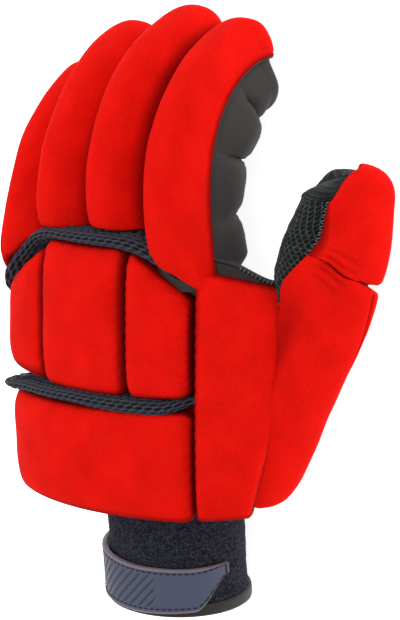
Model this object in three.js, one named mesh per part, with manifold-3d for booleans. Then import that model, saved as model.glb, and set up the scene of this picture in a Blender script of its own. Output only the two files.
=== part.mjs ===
// Field hockey glove for the left hand, lying palm down: the back of the hand is up (+Z),
// the fingers point along +Y and curl down to the floor, and the thumb is on the +X side.
// All sizes are in millimetres.

import * as THREE from "three";
import { mergeVertices } from "three/addons/utils/BufferGeometryUtils.js";
import Module from "manifold-3d";

const wasm = await Module();
wasm.setup();

// Driving sizes
const gap = 0.35;             // clearance between two pieces
const wall = 1.6;             // leather, mesh and knitted walls
const archRadius = 115;       // arch of the hand's back, across the knuckles
const archCrown = 68;         // height of that arch at its top
const rollRadius = 20;        // where the back rolls down on the little finger's side
const rollStart = -50;        // arc length at which that roll starts
const rollEnd = -78;          // arc length of the back's edge, little finger's side
const sideEnd = 95;           // arc length of the back's edge, thumb's side
const padEdge = 2.2;          // foam pads at their sewn edges
const stripHeight = 12;       // mesh strips, puffed up between the pads
const padLift = 1.4;          // extra clearance of the pads that bend round a finger stall
const thumbPadLift = 0.6;     // the same for the thumb
const padSeat = 0.2;          // underside of the pads and strips above the arch
const knuckleStart = -19;     // where the finger stalls leave the hand
const wristTurn = -98;        // where the hand starts to narrow to the cuff
const wristEnd = -122;        // where the hand ends on the cuff
const stallRows = 0.68;       // share of a finger stall's rows that lie before its tip
const thumbRows = 0.72;       // the same for the thumb's stall
const tipEnd = 1.86;          // how far a stall's rows go round its tip (2 is its very end)
const padWrap = 1.72;         // how far the pads go round it
const tipSquareness = 2.35;   // how square a fingertip is, seen from the side (2 is round)

// The hand's back narrows and drops a little towards the wrist
const backTaper = { from: -78, length: 60, narrowing: 0.03, drop: 2, middle: 14 };
// The palm: height at the heel and under the knuckles, and the stretch between them
const palmShape = { heel: -4, front: 27, from: -88, length: 68, squareness: 3.2 };
// The hand's front edge: it stands back where the roll and the thumb's side begin
const frontEdge = { setBack: 6, lowFrom: -78, lowLength: 60, highFrom: 78, highLength: 40 };

// One row for each finger: place of its axis at the knuckle, its length, its bend in degrees
// at the knuckle and at the tip, and its roll outward over the arch of the hand
const fingers = [
  { name: "index", x: 45, z: 47, reach: 106, bendStart: -8, bendEnd: 73, roll: 20, tip: 17 },
  { name: "middle", x: 14, z: 51, reach: 110.5, bendStart: -8, bendEnd: 77, roll: 7, tip: 17 },
  { name: "ring", x: -17, z: 51, reach: 95.5, bendStart: -7, bendEnd: 69, roll: -8, tip: 17 },
  { name: "little", x: -47, z: 45, reach: 71.5, bendStart: -2, bendEnd: 64, roll: -22, tip: 14 },
];
// A finger's oval at the knuckle and at the tip: half width and height above the axis. The
// stall dips behind the knuckle, which it has left at "settled" of its length.
const stallShape = {
  halfKnuckle: 15.1, halfTip: 13, aboveKnuckle: 18.5, aboveTip: 9.5, dip: 5, settled: 0.3,
  squareKnuckle: 3.2, squareTip: 2.3, shorter: 3,
};
const padShape = {
  halfKnuckle: 15.1, halfTip: 14.9, aboveKnuckle: 31, aboveTip: 19, below: 4, squareness: 2.5,
  longer: 2, crown: 5,
};
// Depth of a stall below its axis, from the knuckle (0) to the start of the tip (1)
const stallDepth = [
  { at: 0, below: 20 }, { at: 0.3, below: 25 }, { at: 0.75, below: 27 }, { at: 1, below: 19 },
];
const bendPower = 1.9;        // how late along the finger the bend comes
const fingerDrift = -8;       // the tips lean towards the little finger's side

const padLowSpan = 100;       // how far a finger pad wraps down, in degrees from the top
const padHighSpan = 64;       // the same on the thumb side, at the knuckle

// Where each finger pad starts, on its little finger's side and on its thumb side, how early
// that edge turns (1 is a straight edge), and how far the pad wraps on the thumb side at the tip
const padStarts = {
  index: { low: 3, high: -21, turn: 1, wrap: 80 },
  middle: { low: 3, high: 4, turn: 1, wrap: 64 },
  ring: { low: -1, high: 3, turn: 1, wrap: 64 },
  little: { low: -42, high: -4, turn: 0.6, wrap: 64 },
};

// Pads on the back of the hand: arc length of the two long sides, how much the thumb's side
// narrows towards the wrist and bows out, place of the two ends at each side, height of the
// crown, and rows of faces across
const backCrown = 3;
const backPads = [
  { name: "back_pad_outer", low: -76, high: -27, taper: 0, bow: 0, topLow: -44, topHigh: -12,
    endLow: -73, endHigh: -73, height: 13.4, across: 8 },
  { name: "back_pad_centre", low: -25.5, high: 24.5, taper: 0, bow: 0, topLow: -8, topHigh: -5.5,
    endLow: -74, endHigh: -72, height: 13, across: 8 },
  { name: "back_pad_index", low: 26, high: 56, taper: 0, bow: 0, topLow: -7, topHigh: -29,
    endLow: -72, endHigh: -69, height: 14, across: 8 },
  { name: "wrist_pad", low: -74, high: 56, taper: 0, bow: 0, topLow: -85, topHigh: -78,
    endLow: -129, endHigh: -126, height: 13, across: 12 },
  { name: "side_pad", low: 57.5, high: 95, taper: 13.3, bow: 3, topLow: -12, topHigh: -19,
    endLow: -125, endHigh: -122, height: 15, across: 8 },
];

// Elastic mesh strips: middle line across the back, one row for each named place
const upperStripLine = [
  { at: -76, y: -41, half: 2.6 }, { at: -52, y: -16, half: 3.6 }, { at: -22, y: -2.5, half: 3.4 },
  { at: 18, y: -1, half: 4 }, { at: 40, y: -12, half: 5.6 }, { at: 56, y: -26, half: 2.8 },
];
const lowerStripLine = [
  { at: -76, y: -79.8, half: 2.8 }, { at: -40, y: -79.2, half: 3.4 }, { at: 0, y: -78, half: 3.8 },
  { at: 36, y: -76.4, half: 4.6 }, { at: 56, y: -73, half: 2.4 },
];

// How a strip rounds off across itself and at its two ends
const stripShape = { edge: 1.2, squareness: 2.2, endSquareness: 5, lowEnd: 0.12, highEnd: 0.98 };

// Thumb: middle line from the wrist to the tip
const thumbLine = [
  new THREE.Vector3(54, -122, 31.5), new THREE.Vector3(76.8, -78, 26.4), new THREE.Vector3(98.4, -32, 20.4),
  new THREE.Vector3(107, 2, 18), new THREE.Vector3(107, 22, 18),
];
const thumbBack = new THREE.Vector3(0.88, 0.2, 0.42);   // the way the thumb's back faces
const thumbTip = 16;
// Its oval: the stall above and below its middle line, and the pad above it
const thumbShape = {
  halfStart: 16, halfTip: 17.5, above: 8, belowStart: 19, belowTip: 21, padAboveStart: 21,
  padAboveTip: 18, padBelow: 2, squareness: 2.5, shorter: 3, from: 0.14,
};
// Half width of the thumb's pads
const thumbPadWidth = [
  { at: 0, half: 16.5 }, { at: 0.35, half: 16.2 }, { at: 0.58, half: 18.2 }, { at: 0.75, half: 20.4 },
  { at: 1, half: 21.8 },
];

// Half width of the thumb's stall on its inner side, where it flares to the crotch
const thumbFlare = [
  { at: 0.5, half: 22 }, { at: 0.6, half: 28 }, { at: 0.7, half: 26 }, { at: 0.85, half: 21 },
  { at: 1, half: 14 },
];

// Thumb pads: their sides in degrees from the thumb's back, and where they start and end along
// the thumb at each side (past 1 they wrap round the tip)
const thumbPads = [
  { name: "thumb_base_pad", low: -62, high: 94, fromLow: 0.08, fromHigh: 0.08,
    toLow: 0.71, toHigh: 0.59 },
  { name: "thumb_tip_pad", low: -38, high: 92, fromLow: 0.735, fromHigh: 0.615,
    toLow: padWrap, toHigh: padWrap },
];

// Cuff: an oval sleeve about a slanted line
const cuffTop = new THREE.Vector3(15, -104, 36);
const cuffEnd = new THREE.Vector3(11.8, -167, 27.6);
const cuffHalfWidth = 35;
const cuffHalfHeight = 27;
const binding = { from: 1.008, to: 1.09, proud: 0.6 };
// Strap: its two ends round the cuff, its inner and outer faces, and the slanted cut of its tip
const strapShape = { turnFrom: 0.05, turnTo: 0.505, inner: 1, outer: 2.9, cutFrom: 0.8, cut: 0.75 };
// The strap's two edges, along the cuff
const strapEdges = [
  { at: 0, top: 0.65, low: 1.02 }, { at: 0.5, top: 0.7, low: 1.05 }, { at: 0.8, top: 0.71, low: 1.03 },
  { at: 1, top: 0.7, low: 0.99 },
];

// Small helpers
const lerp = (a, b, t) => a + (b - a) * t;
const clamp = (v, lo, hi) => Math.min(hi, Math.max(lo, v));
const smooth = (t) => clamp(t, 0, 1) ** 2 * (3 - 2 * clamp(t, 0, 1));
const dome = (t, power) => Math.pow(Math.max(0, 1 - Math.pow(Math.abs(2 * t - 1), power)), 1 / power);
const spread = (t) => 0.5 - 0.5 * Math.cos(Math.PI * t);
const rad = THREE.MathUtils.degToRad;

// Reads one column of a short table whose rows are placed by "at"
function readTable(rows, at, column) {
  const last = rows.length - 1;
  if (at <= rows[0].at) return rows[0][column];
  if (at >= rows[last].at) return rows[last][column];
  const i = rows.findIndex((row) => row.at >= at);
  const t = (at - rows[i - 1].at) / (rows[i].at - rows[i - 1].at);
  return lerp(rows[i - 1][column], rows[i][column], t);
}

// Keeps a point on or above the floor: leather and foam flatten where the glove lies
function settle(point, lowest) {
  point.z = Math.max(point.z, lowest);
  return point;
}

// A closed body between an outer and an inner surface, both read on the same grid.
// ring closes it around, and pole closes its far end to a point.
function thickSheet({ along, across, outer, inner, ring = false, pole = false }) {
  const columns = ring ? across : across + 1;
  const positions = [];
  const faces = [];
  for (const surface of [outer, inner]) {
    for (let i = 0; i <= along; i += 1) {
      for (let j = 0; j < columns; j += 1) {
        const p = surface(i / along, j / across);
        positions.push(p.x, p.y, p.z);
      }
    }
  }
  const size = (along + 1) * columns;
  const top = (i, j) => i * columns + (j % columns);
  const low = (i, j) => size + top(i, j);
  const quad = (a, b, c, d) => faces.push(a, b, c, a, c, d);
  for (let i = 0; i < along; i += 1) {
    for (let j = 0; j < across; j += 1) {
      quad(top(i, j), top(i, j + 1), top(i + 1, j + 1), top(i + 1, j));
      quad(low(i, j), low(i + 1, j), low(i + 1, j + 1), low(i, j + 1));
    }
  }
  for (let j = 0; j < across; j += 1) {
    quad(top(0, j), low(0, j), low(0, j + 1), top(0, j + 1));
    if (!pole) quad(top(along, j), top(along, j + 1), low(along, j + 1), low(along, j));
  }
  if (!ring) {
    for (let i = 0; i < along; i += 1) {
      quad(top(i, 0), top(i + 1, 0), low(i + 1, 0), low(i, 0));
      quad(top(i, across), low(i, across), low(i + 1, across), top(i + 1, across));
    }
  }
  if (pole) {
    for (const [row, flip] of [[top, false], [low, true]]) {
      const centre = new THREE.Vector3();
      for (let j = 0; j < columns; j += 1) {
        centre.add(new THREE.Vector3().fromArray(positions, 3 * row(along, j)));
      }
      centre.divideScalar(columns);
      const index = positions.length / 3;
      positions.push(centre.x, centre.y, centre.z);
      for (let j = 0; j < across; j += 1) {
        if (flip) faces.push(row(along, j + 1), row(along, j), index);
        else faces.push(row(along, j), row(along, j + 1), index);
      }
    }
  }
  const geometry = new THREE.BufferGeometry();
  geometry.setAttribute("position", new THREE.Float32BufferAttribute(positions, 3));
  geometry.setIndex(faces);
  return geometry;
}

// Turns a closed geometry into a solid for joining and cutting, faces outward
function toSolid(geometry) {
  const bare = mergeVertices(geometry, 1e-4);
  const position = bare.getAttribute("position");
  const index = bare.getIndex().array;
  const triangles = [];
  for (let i = 0; i < index.length; i += 3) {
    const [a, b, c] = [index[i], index[i + 1], index[i + 2]];
    if (a !== b && b !== c && a !== c) triangles.push(a, b, c);
  }
  const build = (order) => new wasm.Manifold(new wasm.Mesh({
    numProp: 3,
    vertProperties: new Float32Array(position.array),
    triVerts: new Uint32Array(order),
  }));
  const solid = build(triangles);
  if (solid.volume() > 0) return solid;
  const turned = [];
  for (let i = 0; i < triangles.length; i += 3) {
    turned.push(triangles[i], triangles[i + 2], triangles[i + 1]);
  }
  return build(turned);
}

function toGeometry(solid) {
  const mesh = solid.getMesh();
  const geometry = new THREE.BufferGeometry();
  geometry.setAttribute("position", new THREE.Float32BufferAttribute(mesh.vertProperties, 3));
  geometry.setIndex(Array.from(mesh.triVerts));
  return geometry;
}

// Only the largest body is kept: a cut can leave slivers
function largest(solid) {
  const bodies = solid.decompose();
  return bodies.reduce((best, body) => (body.volume() > best.volume() ? body : best));
}

// The hand's back: a point at arc length q, place y along the hand, and height above it
function backPoint(q, y, height) {
  const turn = q < rollStart
    ? rollStart / archRadius + (q - rollStart) / rollRadius
    : q / archRadius;
  const start = rollStart / archRadius;
  let x = archRadius * Math.sin(q / archRadius);
  let z = archCrown - archRadius + archRadius * Math.cos(q / archRadius);
  if (q < rollStart) {
    x = (archRadius - rollRadius) * Math.sin(start) + rollRadius * Math.sin(turn);
    z = archCrown - archRadius + (archRadius - rollRadius) * Math.cos(start)
      + rollRadius * Math.cos(turn);
  }
  const taper = smooth((backTaper.from - y) / backTaper.length);
  const narrow = 1 - backTaper.narrowing * taper;
  return new THREE.Vector3(
    backTaper.middle + (x - backTaper.middle) * narrow + Math.sin(turn) * height,
    y,
    z - backTaper.drop * taper + Math.cos(turn) * height,
  );
}

// The palm: a point at t from the little finger's side to the thumb's side
function palmPoint(t, y, inset) {
  const left = backPoint(rollEnd, y, -gap);
  const right = backPoint(sideEnd, y, -gap);
  const forward = smooth((y - palmShape.from) / palmShape.length);
  const low = lerp(palmShape.heel, palmShape.front, forward);
  const depth = dome(t, palmShape.squareness);
  return new THREE.Vector3(
    lerp(left.x, right.x, t) + inset * (1 - 2 * t) * (1 - depth),
    y,
    lerp(lerp(left.z, right.z, t), low, depth) + inset * depth,
  );
}

// The cuff's oval: a point at turn (0 to 1, starting at the little finger's side, over the back)
function cuffPoint(turn, s, grow) {
  const centre = new THREE.Vector3().lerpVectors(cuffTop, cuffEnd, s);
  const axis = new THREE.Vector3().subVectors(cuffEnd, cuffTop).normalize();
  const side = new THREE.Vector3(1, 0, 0);
  const up = new THREE.Vector3().crossVectors(axis, side).normalize();
  if (up.z < 0) up.negate();
  const a = Math.PI - turn * 2 * Math.PI;
  return centre
    .addScaledVector(side, Math.cos(a) * (cuffHalfWidth + grow))
    .addScaledVector(up, Math.sin(a) * (cuffHalfHeight + grow));
}

// The hand's skin, all round: turn 0 to 0.5 over the back, 0.5 to 1 under the palm
function handPoint(turn, y, inset) {
  const upper = turn <= 0.5;
  const hand = upper
    ? backPoint(lerp(rollEnd, sideEnd, turn * 2), y, -gap - inset)
    : palmPoint(2 - turn * 2, y, inset);
  const narrowing = smooth((wristTurn - y) / (wristTurn - wristEnd));
  const onCuff = cuffPoint(turn, 0, gap + wall - inset);
  const s = (cuffTop.y - y) / (cuffTop.y - cuffEnd.y);
  const slide = cuffPoint(turn, s, gap + wall - inset);
  onCuff.set(slide.x, lerp(y, slide.y, narrowing), slide.z);
  return settle(hand.lerp(onCuff, narrowing), inset);
}

// Rows along the hand: half of them lie in the short stretch that narrows to the cuff
function alongHand(front, v) {
  return v < 0.5 ? lerp(front, wristTurn, v * 2) : lerp(wristTurn, wristEnd, v * 2 - 1);
}

function handWall(fromTurn, toTurn) {
  const frontAt = (turn) => {
    const q = lerp(rollEnd, sideEnd, turn <= 0.5 ? turn * 2 : 2 - turn * 2);
    const rise = smooth((q - frontEdge.lowFrom) / frontEdge.lowLength)
      * smooth((frontEdge.highFrom - q) / frontEdge.highLength);
    return lerp(knuckleStart - frontEdge.setBack, knuckleStart - gap, rise);
  };
  const surface = (inset) => (v, u) => {
    const turn = lerp(fromTurn, toTurn, u);
    return handPoint(turn, alongHand(frontAt(turn), v), inset);
  };
  return thickSheet({ along: 8, across: 16, outer: surface(0), inner: surface(wall) });
}

function handSolid(grow) {
  const middleOf = (y) => handPoint(0.25, y, 0).add(handPoint(0.75, y, 0)).multiplyScalar(0.5);
  const outer = (v, u) => handPoint(u, alongHand(knuckleStart, v), -grow);
  const inner = (v) => middleOf(alongHand(knuckleStart, v));
  return thickSheet({ along: 8, across: 40, outer, inner, ring: true });
}

// Finger axes, worked out from the bend
function fingerAxis(finger) {
  const steps = 48;
  const rows = [{ y: knuckleStart, z: finger.z, bend: rad(finger.bendStart) }];
  for (let i = 1; i <= steps; i += 1) {
    const t = (i - 0.5) / steps;
    const bend = rad(lerp(finger.bendStart, finger.bendEnd, Math.pow(t, bendPower)));
    const last = rows[rows.length - 1];
    const step = finger.reach / steps;
    rows.push({ y: last.y + Math.cos(bend) * step, z: last.z - Math.sin(bend) * step, bend });
  }
  return rows;
}

const axes = Object.fromEntries(fingers.map((finger) => [finger.name, fingerAxis(finger)]));

// Round a tip, with s from 1 to 2, the oval moves forward and shrinks to nothing
function tipTurn(s) {
  const turn = Math.max(0, s - 1) * Math.PI / 2;
  return {
    lift: Math.pow(Math.sin(turn), 2 / tipSquareness),
    shrink: Math.pow(Math.cos(turn), 2 / tipSquareness),
  };
}

// A frame on the finger: s from 0 to 1 along the axis, and on from 1 to 2 around the tip
function fingerFrame(finger, s) {
  const rows = axes[finger.name];
  const place = Math.min(s, 1) * (rows.length - 1);
  const i = clamp(Math.floor(place), 0, rows.length - 2);
  const t = place - i;
  const bend = lerp(rows[i].bend, rows[i + 1].bend, t);
  const forward = new THREE.Vector3(0, Math.cos(bend), -Math.sin(bend));
  const roll = rad(finger.roll) * (1 - smooth(s));
  const side = new THREE.Vector3(Math.cos(roll), 0, -Math.sin(roll));
  const up = new THREE.Vector3().crossVectors(side, forward).normalize();
  const lean = fingerDrift * Math.pow(clamp(s, 0, 1), 2);
  const origin = new THREE.Vector3(finger.x + lean, lerp(rows[i].y, rows[i + 1].y, t),
    lerp(rows[i].z, rows[i + 1].z, t));
  return { origin, forward, side, up, ...tipTurn(s) };
}

// Oval with its own half width, height above and depth below
function ovalOffset(angle, half, above, below, power) {
  const c = Math.cos(angle);
  const s = Math.sin(angle);
  const reach = c >= 0 ? above : below;
  return {
    out: Math.sign(s) * half * Math.pow(Math.abs(s), 2 / power),
    rise: Math.sign(c) * reach * Math.pow(Math.abs(c), 2 / power),
  };
}

function stallSizes(finger, s) {
  const t = smooth(s / stallShape.settled);
  const end = clamp(s, 0, 1);
  return {
    half: lerp(stallShape.halfKnuckle, stallShape.halfTip, t),
    above: lerp(stallShape.aboveKnuckle, stallShape.aboveTip, end) - stallShape.dip * t * (1 - end),
    below: readTable(stallDepth, s, "below"),
    length: finger.tip - stallShape.shorter,
    power: lerp(stallShape.squareKnuckle, stallShape.squareTip, t),
  };
}

function padSizes(finger, s) {
  return {
    half: lerp(padShape.halfKnuckle, padShape.halfTip, clamp(s, 0, 1)),
    above: lerp(padShape.aboveKnuckle, padShape.aboveTip, smooth(s)),
    below: padShape.below,
    length: finger.tip + padShape.longer,
    power: padShape.squareness,
  };
}

// A point on a finger's stall or pad; angle 0 is the finger's back
function fingerPoint(finger, s, angle, sizesOf, grow) {
  const f = fingerFrame(finger, s);
  const sizes = sizesOf(finger, s);
  const o = ovalOffset(angle, sizes.half + grow, sizes.above + grow, sizes.below + grow, sizes.power);
  const point = f.origin.clone()
    .addScaledVector(f.side, o.out * f.shrink)
    .addScaledVector(f.up, o.rise * f.shrink)
    .addScaledVector(f.forward, (sizes.length + grow) * f.lift);
  return settle(point, -Math.min(0, grow));
}

// Rows along a stall: most of them before its tip, and the rest round it
function stallRow(v, share, from) {
  return v < share ? lerp(from, 1, v / share) : lerp(1, tipEnd, (v - share) / (1 - share));
}

function fingerStall(finger) {
  const surface = (grow) => (v, u) => (
    fingerPoint(finger, stallRow(v, stallRows, 0), u * 2 * Math.PI, stallSizes, grow)
  );
  return thickSheet({ along: 9, across: 12, outer: surface(0), inner: surface(-wall),
    ring: true, pole: true });
}

// The same stall as one full body, for cutting
function fingerSolid(finger, grow) {
  const from = -2 * gap / finger.reach;
  const row = (v) => stallRow(v, stallRows, from);
  const outer = (v, u) => fingerPoint(finger, row(v), u * 2 * Math.PI, stallSizes, grow);
  const inner = (v) => fingerFrame(finger, Math.min(1, row(v))).origin;
  return thickSheet({ along: 9, across: 12, outer, inner, ring: true, pole: true });
}

// Finger pad: a thick crowned piece over the stall's back and round its tip
function fingerPad(finger) {
  const start = padStarts[finger.name];
  const from = (u) => (
    (lerp(start.low, start.high, Math.pow(u, start.turn)) - knuckleStart) / finger.reach
  );
  const along = (v, u) => lerp(from(u), padWrap, spread(v));
  const around = (v, u) => rad(lerp(-padLowSpan, lerp(padHighSpan, start.wrap, spread(v)), u));
  const outer = (v, u) => {
    const full = fingerPoint(finger, along(v, u), around(v, u), padSizes, 0);
    const base = fingerPoint(finger, along(v, u), around(v, u), stallSizes, gap + padEdge);
    return base.lerp(full, dome(u, padShape.crown) * dome(spread(v), padShape.crown));
  };
  const inner = (v, u) => (
    fingerPoint(finger, along(v, u), around(v, u), stallSizes, gap + padLift)
  );
  return thickSheet({ along: 11, across: 8, outer, inner });
}

// Pad on the back of the hand; it can be deeper set, to cut the pads beside it
function backPad(pad, seat = padSeat) {
  const place = (v, u) => ({
    q: lerp(pad.low, pad.high - pad.taper * spread(v) + pad.bow * Math.sin(Math.PI * spread(v)),
      spread(u)),
    y: lerp(lerp(pad.topLow, pad.topHigh, spread(u)), lerp(pad.endLow, pad.endHigh, spread(u)),
      spread(v)),
  });
  const outer = (v, u) => {
    const p = place(v, u);
    const rise = dome(spread(v), backCrown) * dome(spread(u), backCrown);
    return backPoint(p.q, p.y, lerp(padEdge, pad.height, rise));
  };
  const inner = (v, u) => {
    const p = place(v, u);
    return backPoint(p.q, p.y, seat);
  };
  return thickSheet({ along: 10, across: pad.across, outer, inner });
}

// Elastic mesh strip, puffed up between two rows of pads
function meshStrip(line, height, grow = 0) {
  const first = line[0].at;
  const last = line[line.length - 1].at;
  const place = (v, u) => {
    const q = lerp(first, last, v);
    const half = readTable(line, q, "half") + grow;
    return { q, y: readTable(line, q, "y") + lerp(half, -half, u) };
  };
  const outer = (v, u) => {
    const p = place(v, u);
    const ends = dome(lerp(stripShape.lowEnd, stripShape.highEnd, v), stripShape.endSquareness);
    const rise = dome(u, stripShape.squareness) * ends;
    return backPoint(p.q, p.y, lerp(stripShape.edge, height, rise) + grow);
  };
  const inner = (v, u) => {
    const p = place(v, u);
    return backPoint(p.q, p.y, padSeat - grow);
  };
  return thickSheet({ along: 18, across: 4, outer, inner });
}

// Thumb
const thumbCurve = new THREE.CatmullRomCurve3(thumbLine, false, "centripetal");

// The thumb's stall, which flares towards the crotch on its inner side, and its pads
function thumbStallSizes(s, innerSide) {
  return {
    half: innerSide ? readTable(thumbFlare, s, "half") : lerp(thumbShape.halfStart, thumbShape.halfTip, s),
    above: thumbShape.above,
    below: lerp(thumbShape.belowStart, thumbShape.belowTip, s),
    length: thumbTip - thumbShape.shorter,
  };
}

function thumbPadSizes(s) {
  return {
    half: readTable(thumbPadWidth, s, "half"),
    above: lerp(thumbShape.padAboveStart, thumbShape.padAboveTip, s),
    below: thumbShape.padBelow,
    length: thumbTip,
  };
}

function thumbPoint(s, angle, sizesOf, grow) {
  const place = clamp(s, 0, 1);
  const forward = thumbCurve.getTangent(place);
  const up = thumbBack.clone().addScaledVector(forward, -thumbBack.dot(forward)).normalize();
  const side = new THREE.Vector3().crossVectors(forward, up).normalize();
  const { lift, shrink } = tipTurn(s);
  const sizes = sizesOf(place, Math.sin(angle) < 0);
  const o = ovalOffset(angle, sizes.half + grow, sizes.above + grow, sizes.below + grow,
    thumbShape.squareness);
  const point = thumbCurve.getPoint(place)
    .addScaledVector(side, o.out * shrink)
    .addScaledVector(up, o.rise * shrink)
    .addScaledVector(forward, (sizes.length + grow) * lift);
  return settle(point, -Math.min(0, grow));
}

function thumbStall() {
  const row = (v) => stallRow(v, thumbRows, thumbShape.from);
  const surface = (grow) => (v, u) => thumbPoint(row(v), u * 2 * Math.PI, thumbStallSizes, grow);
  return thickSheet({ along: 11, across: 13, outer: surface(0), inner: surface(-wall),
    ring: true, pole: true });
}

function thumbSolid(grow) {
  const row = (v) => stallRow(v, thumbRows, thumbShape.from);
  const outer = (v, u) => thumbPoint(row(v), u * 2 * Math.PI, thumbStallSizes, grow);
  const inner = (v) => thumbCurve.getPoint(clamp(row(v), 0, 1));
  return thickSheet({ along: 11, across: 13, outer, inner, ring: true, pole: true });
}

function thumbPad(pad) {
  const around = (u) => rad(lerp(pad.low, pad.high, u));
  const along = (v, u) => lerp(lerp(pad.fromLow, pad.fromHigh, u), lerp(pad.toLow, pad.toHigh, u),
    spread(v));
  const outer = (v, u) => {
    const full = thumbPoint(along(v, u), around(u), thumbPadSizes, 0);
    const base = thumbPoint(along(v, u), around(u), thumbStallSizes, gap + padEdge);
    return base.lerp(full, dome(u, padShape.crown) * dome(spread(v), padShape.crown));
  };
  const inner = (v, u) => thumbPoint(along(v, u), around(u), thumbStallSizes, gap + thumbPadLift);
  return thickSheet({ along: 10, across: 8, outer, inner });
}

// Cuff, hem binding and strap
function cuffSleeve() {
  const surface = (grow) => (v, u) => settle(cuffPoint(u, v, grow), grow < 0 ? wall : 0);
  return thickSheet({ along: 3, across: 24, outer: surface(0), inner: surface(-wall), ring: true });
}

function cuffSolid(grow) {
  const s = (v) => lerp(-grow / cuffTop.distanceTo(cuffEnd), 1, v);
  const outer = (v, u) => cuffPoint(u, s(v), grow);
  const inner = (v) => new THREE.Vector3().lerpVectors(cuffTop, cuffEnd, s(v));
  return thickSheet({ along: 3, across: 24, outer, inner, ring: true });
}

function cuffBinding() {
  const surface = (grow) => (v, u) => (
    settle(cuffPoint(u, lerp(binding.from, binding.to, v), grow), grow < 0 ? wall : 0)
  );
  return thickSheet({ along: 1, across: 24, outer: surface(binding.proud), inner: surface(-wall),
    ring: true });
}

function strapPiece() {
  const surface = (grow) => (v, u) => {
    const turn = lerp(strapShape.turnFrom, strapShape.turnTo, u);
    const slope = strapShape.cut * smooth((u - strapShape.cutFrom) / (1 - strapShape.cutFrom));
    const top = readTable(strapEdges, u, "top");
    const low = readTable(strapEdges, u, "low");
    return cuffPoint(turn, lerp(top, lerp(low, top, slope), v), grow);
  };
  return thickSheet({ along: 2, across: 14, outer: surface(strapShape.outer),
    inner: surface(strapShape.inner) });
}

// Finishes
const finish = (color, roughness) => new THREE.MeshStandardMaterial({ color, roughness, metalness: 0 });
const redKnit = finish("#e8190f", 0.85);
const charcoalLeather = finish("#3b3736", 0.6);
const blackMesh = finish("#0c0d0d", 0.7);
const darkMesh = finish("#2b2d38", 0.7);
const cuffKnit = finish("#23242d", 0.95);
const hemTape = finish("#2a2322", 0.7);
const strapRubber = finish("#4a4f66", 0.5);

const glove = new THREE.Group();

function addPiece(name, geometry, material) {
  const mesh = new THREE.Mesh(geometry, material);
  mesh.name = name;
  glove.add(mesh);
}

// Blocks that keep each piece clear of what lies in or under it
const thumbHole = toSolid(thumbSolid(-wall));
const thumbBlock = toSolid(thumbSolid(gap));
const handBlock = toSolid(handSolid(gap));
const wideHandBlock = toSolid(handSolid(3 * gap));
const cuffBlock = toSolid(cuffSolid(gap));
const stallBlocks = fingers.map((finger) => toSolid(fingerSolid(finger, gap)));
const stripBlocks = [
  toSolid(meshStrip(upperStripLine, stripHeight, gap)),
  toSolid(meshStrip(lowerStripLine, stripHeight, gap)),
];
const sidePad = backPads.find((pad) => pad.name === "side_pad");
const sideBlockDepth = -4;
const sidePadBlock = toSolid(backPad({
  ...sidePad,
  low: sidePad.low - gap,
  high: sidePad.high + gap,
  topHigh: sidePad.topHigh + gap,
  endHigh: sidePad.endHigh - gap,
  height: sidePad.height + 3 * gap,
}, sideBlockDepth));

function clearOf(geometry, blocks) {
  const piece = toSolid(geometry);
  const meeting = blocks.filter((block) => piece.intersect(block).volume() > 0);
  return toGeometry(largest(meeting.reduce((rest, block) => rest.subtract(block), piece)));
}

// Hand: the back panel and the palm, with a way through to the thumb
const handCuts = [thumbHole, cuffBlock, ...stallBlocks];
const sideSeam = 0.004;   // share of the way round that stays open at each side, between the two
addPiece("back_panel", clearOf(handWall(0, 0.5 - sideSeam), handCuts), redKnit);
addPiece("palm", clearOf(handWall(0.5, 1 - sideSeam), handCuts), charcoalLeather);

// Fingers: each stall is a leather tube, and each pad lies on one
fingers.forEach((finger) => {
  addPiece(`finger_stall_${finger.name}`, toGeometry(toSolid(fingerStall(finger))), charcoalLeather);
});
fingers.forEach((finger) => {
  const blocks = [stripBlocks[0], sidePadBlock];
  addPiece(`finger_pad_${finger.name}`, clearOf(fingerPad(finger), blocks), redKnit);
});

// Pads and strips on the back of the hand
backPads.forEach((pad) => {
  const blocks = [...stallBlocks, ...stripBlocks, thumbBlock];
  if (pad.name === "wrist_pad") blocks.push(cuffBlock, handBlock);
  addPiece(pad.name, clearOf(backPad(pad), blocks), redKnit);
});
addPiece("mesh_strip_upper",
  clearOf(meshStrip(upperStripLine, stripHeight), stallBlocks), darkMesh);
addPiece("mesh_strip_lower", toGeometry(toSolid(meshStrip(lowerStripLine, stripHeight))), darkMesh);

// Thumb: mesh stall and two pads
addPiece("thumb_stall", clearOf(thumbStall(), [wideHandBlock]), blackMesh);
thumbPads.forEach((pad) => {
  addPiece(pad.name, clearOf(thumbPad(pad), [wideHandBlock, sidePadBlock]), redKnit);
});

// Wrist
addPiece("cuff", toGeometry(toSolid(cuffSleeve())), cuffKnit);
addPiece("cuff_binding", toGeometry(toSolid(cuffBinding())), hemTape);
addPiece("strap", toGeometry(toSolid(strapPiece())), strapRubber);

// The origin is on the floor, under the middle of the glove
const bounds = new THREE.Box3().setFromObject(glove);
const centre = bounds.getCenter(new THREE.Vector3());
glove.position.set(-centre.x, -centre.y, -bounds.min.z);

export default glove;
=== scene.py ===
import math
import bpy
import numpy as np
from mathutils import Matrix, Vector, noise


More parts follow.
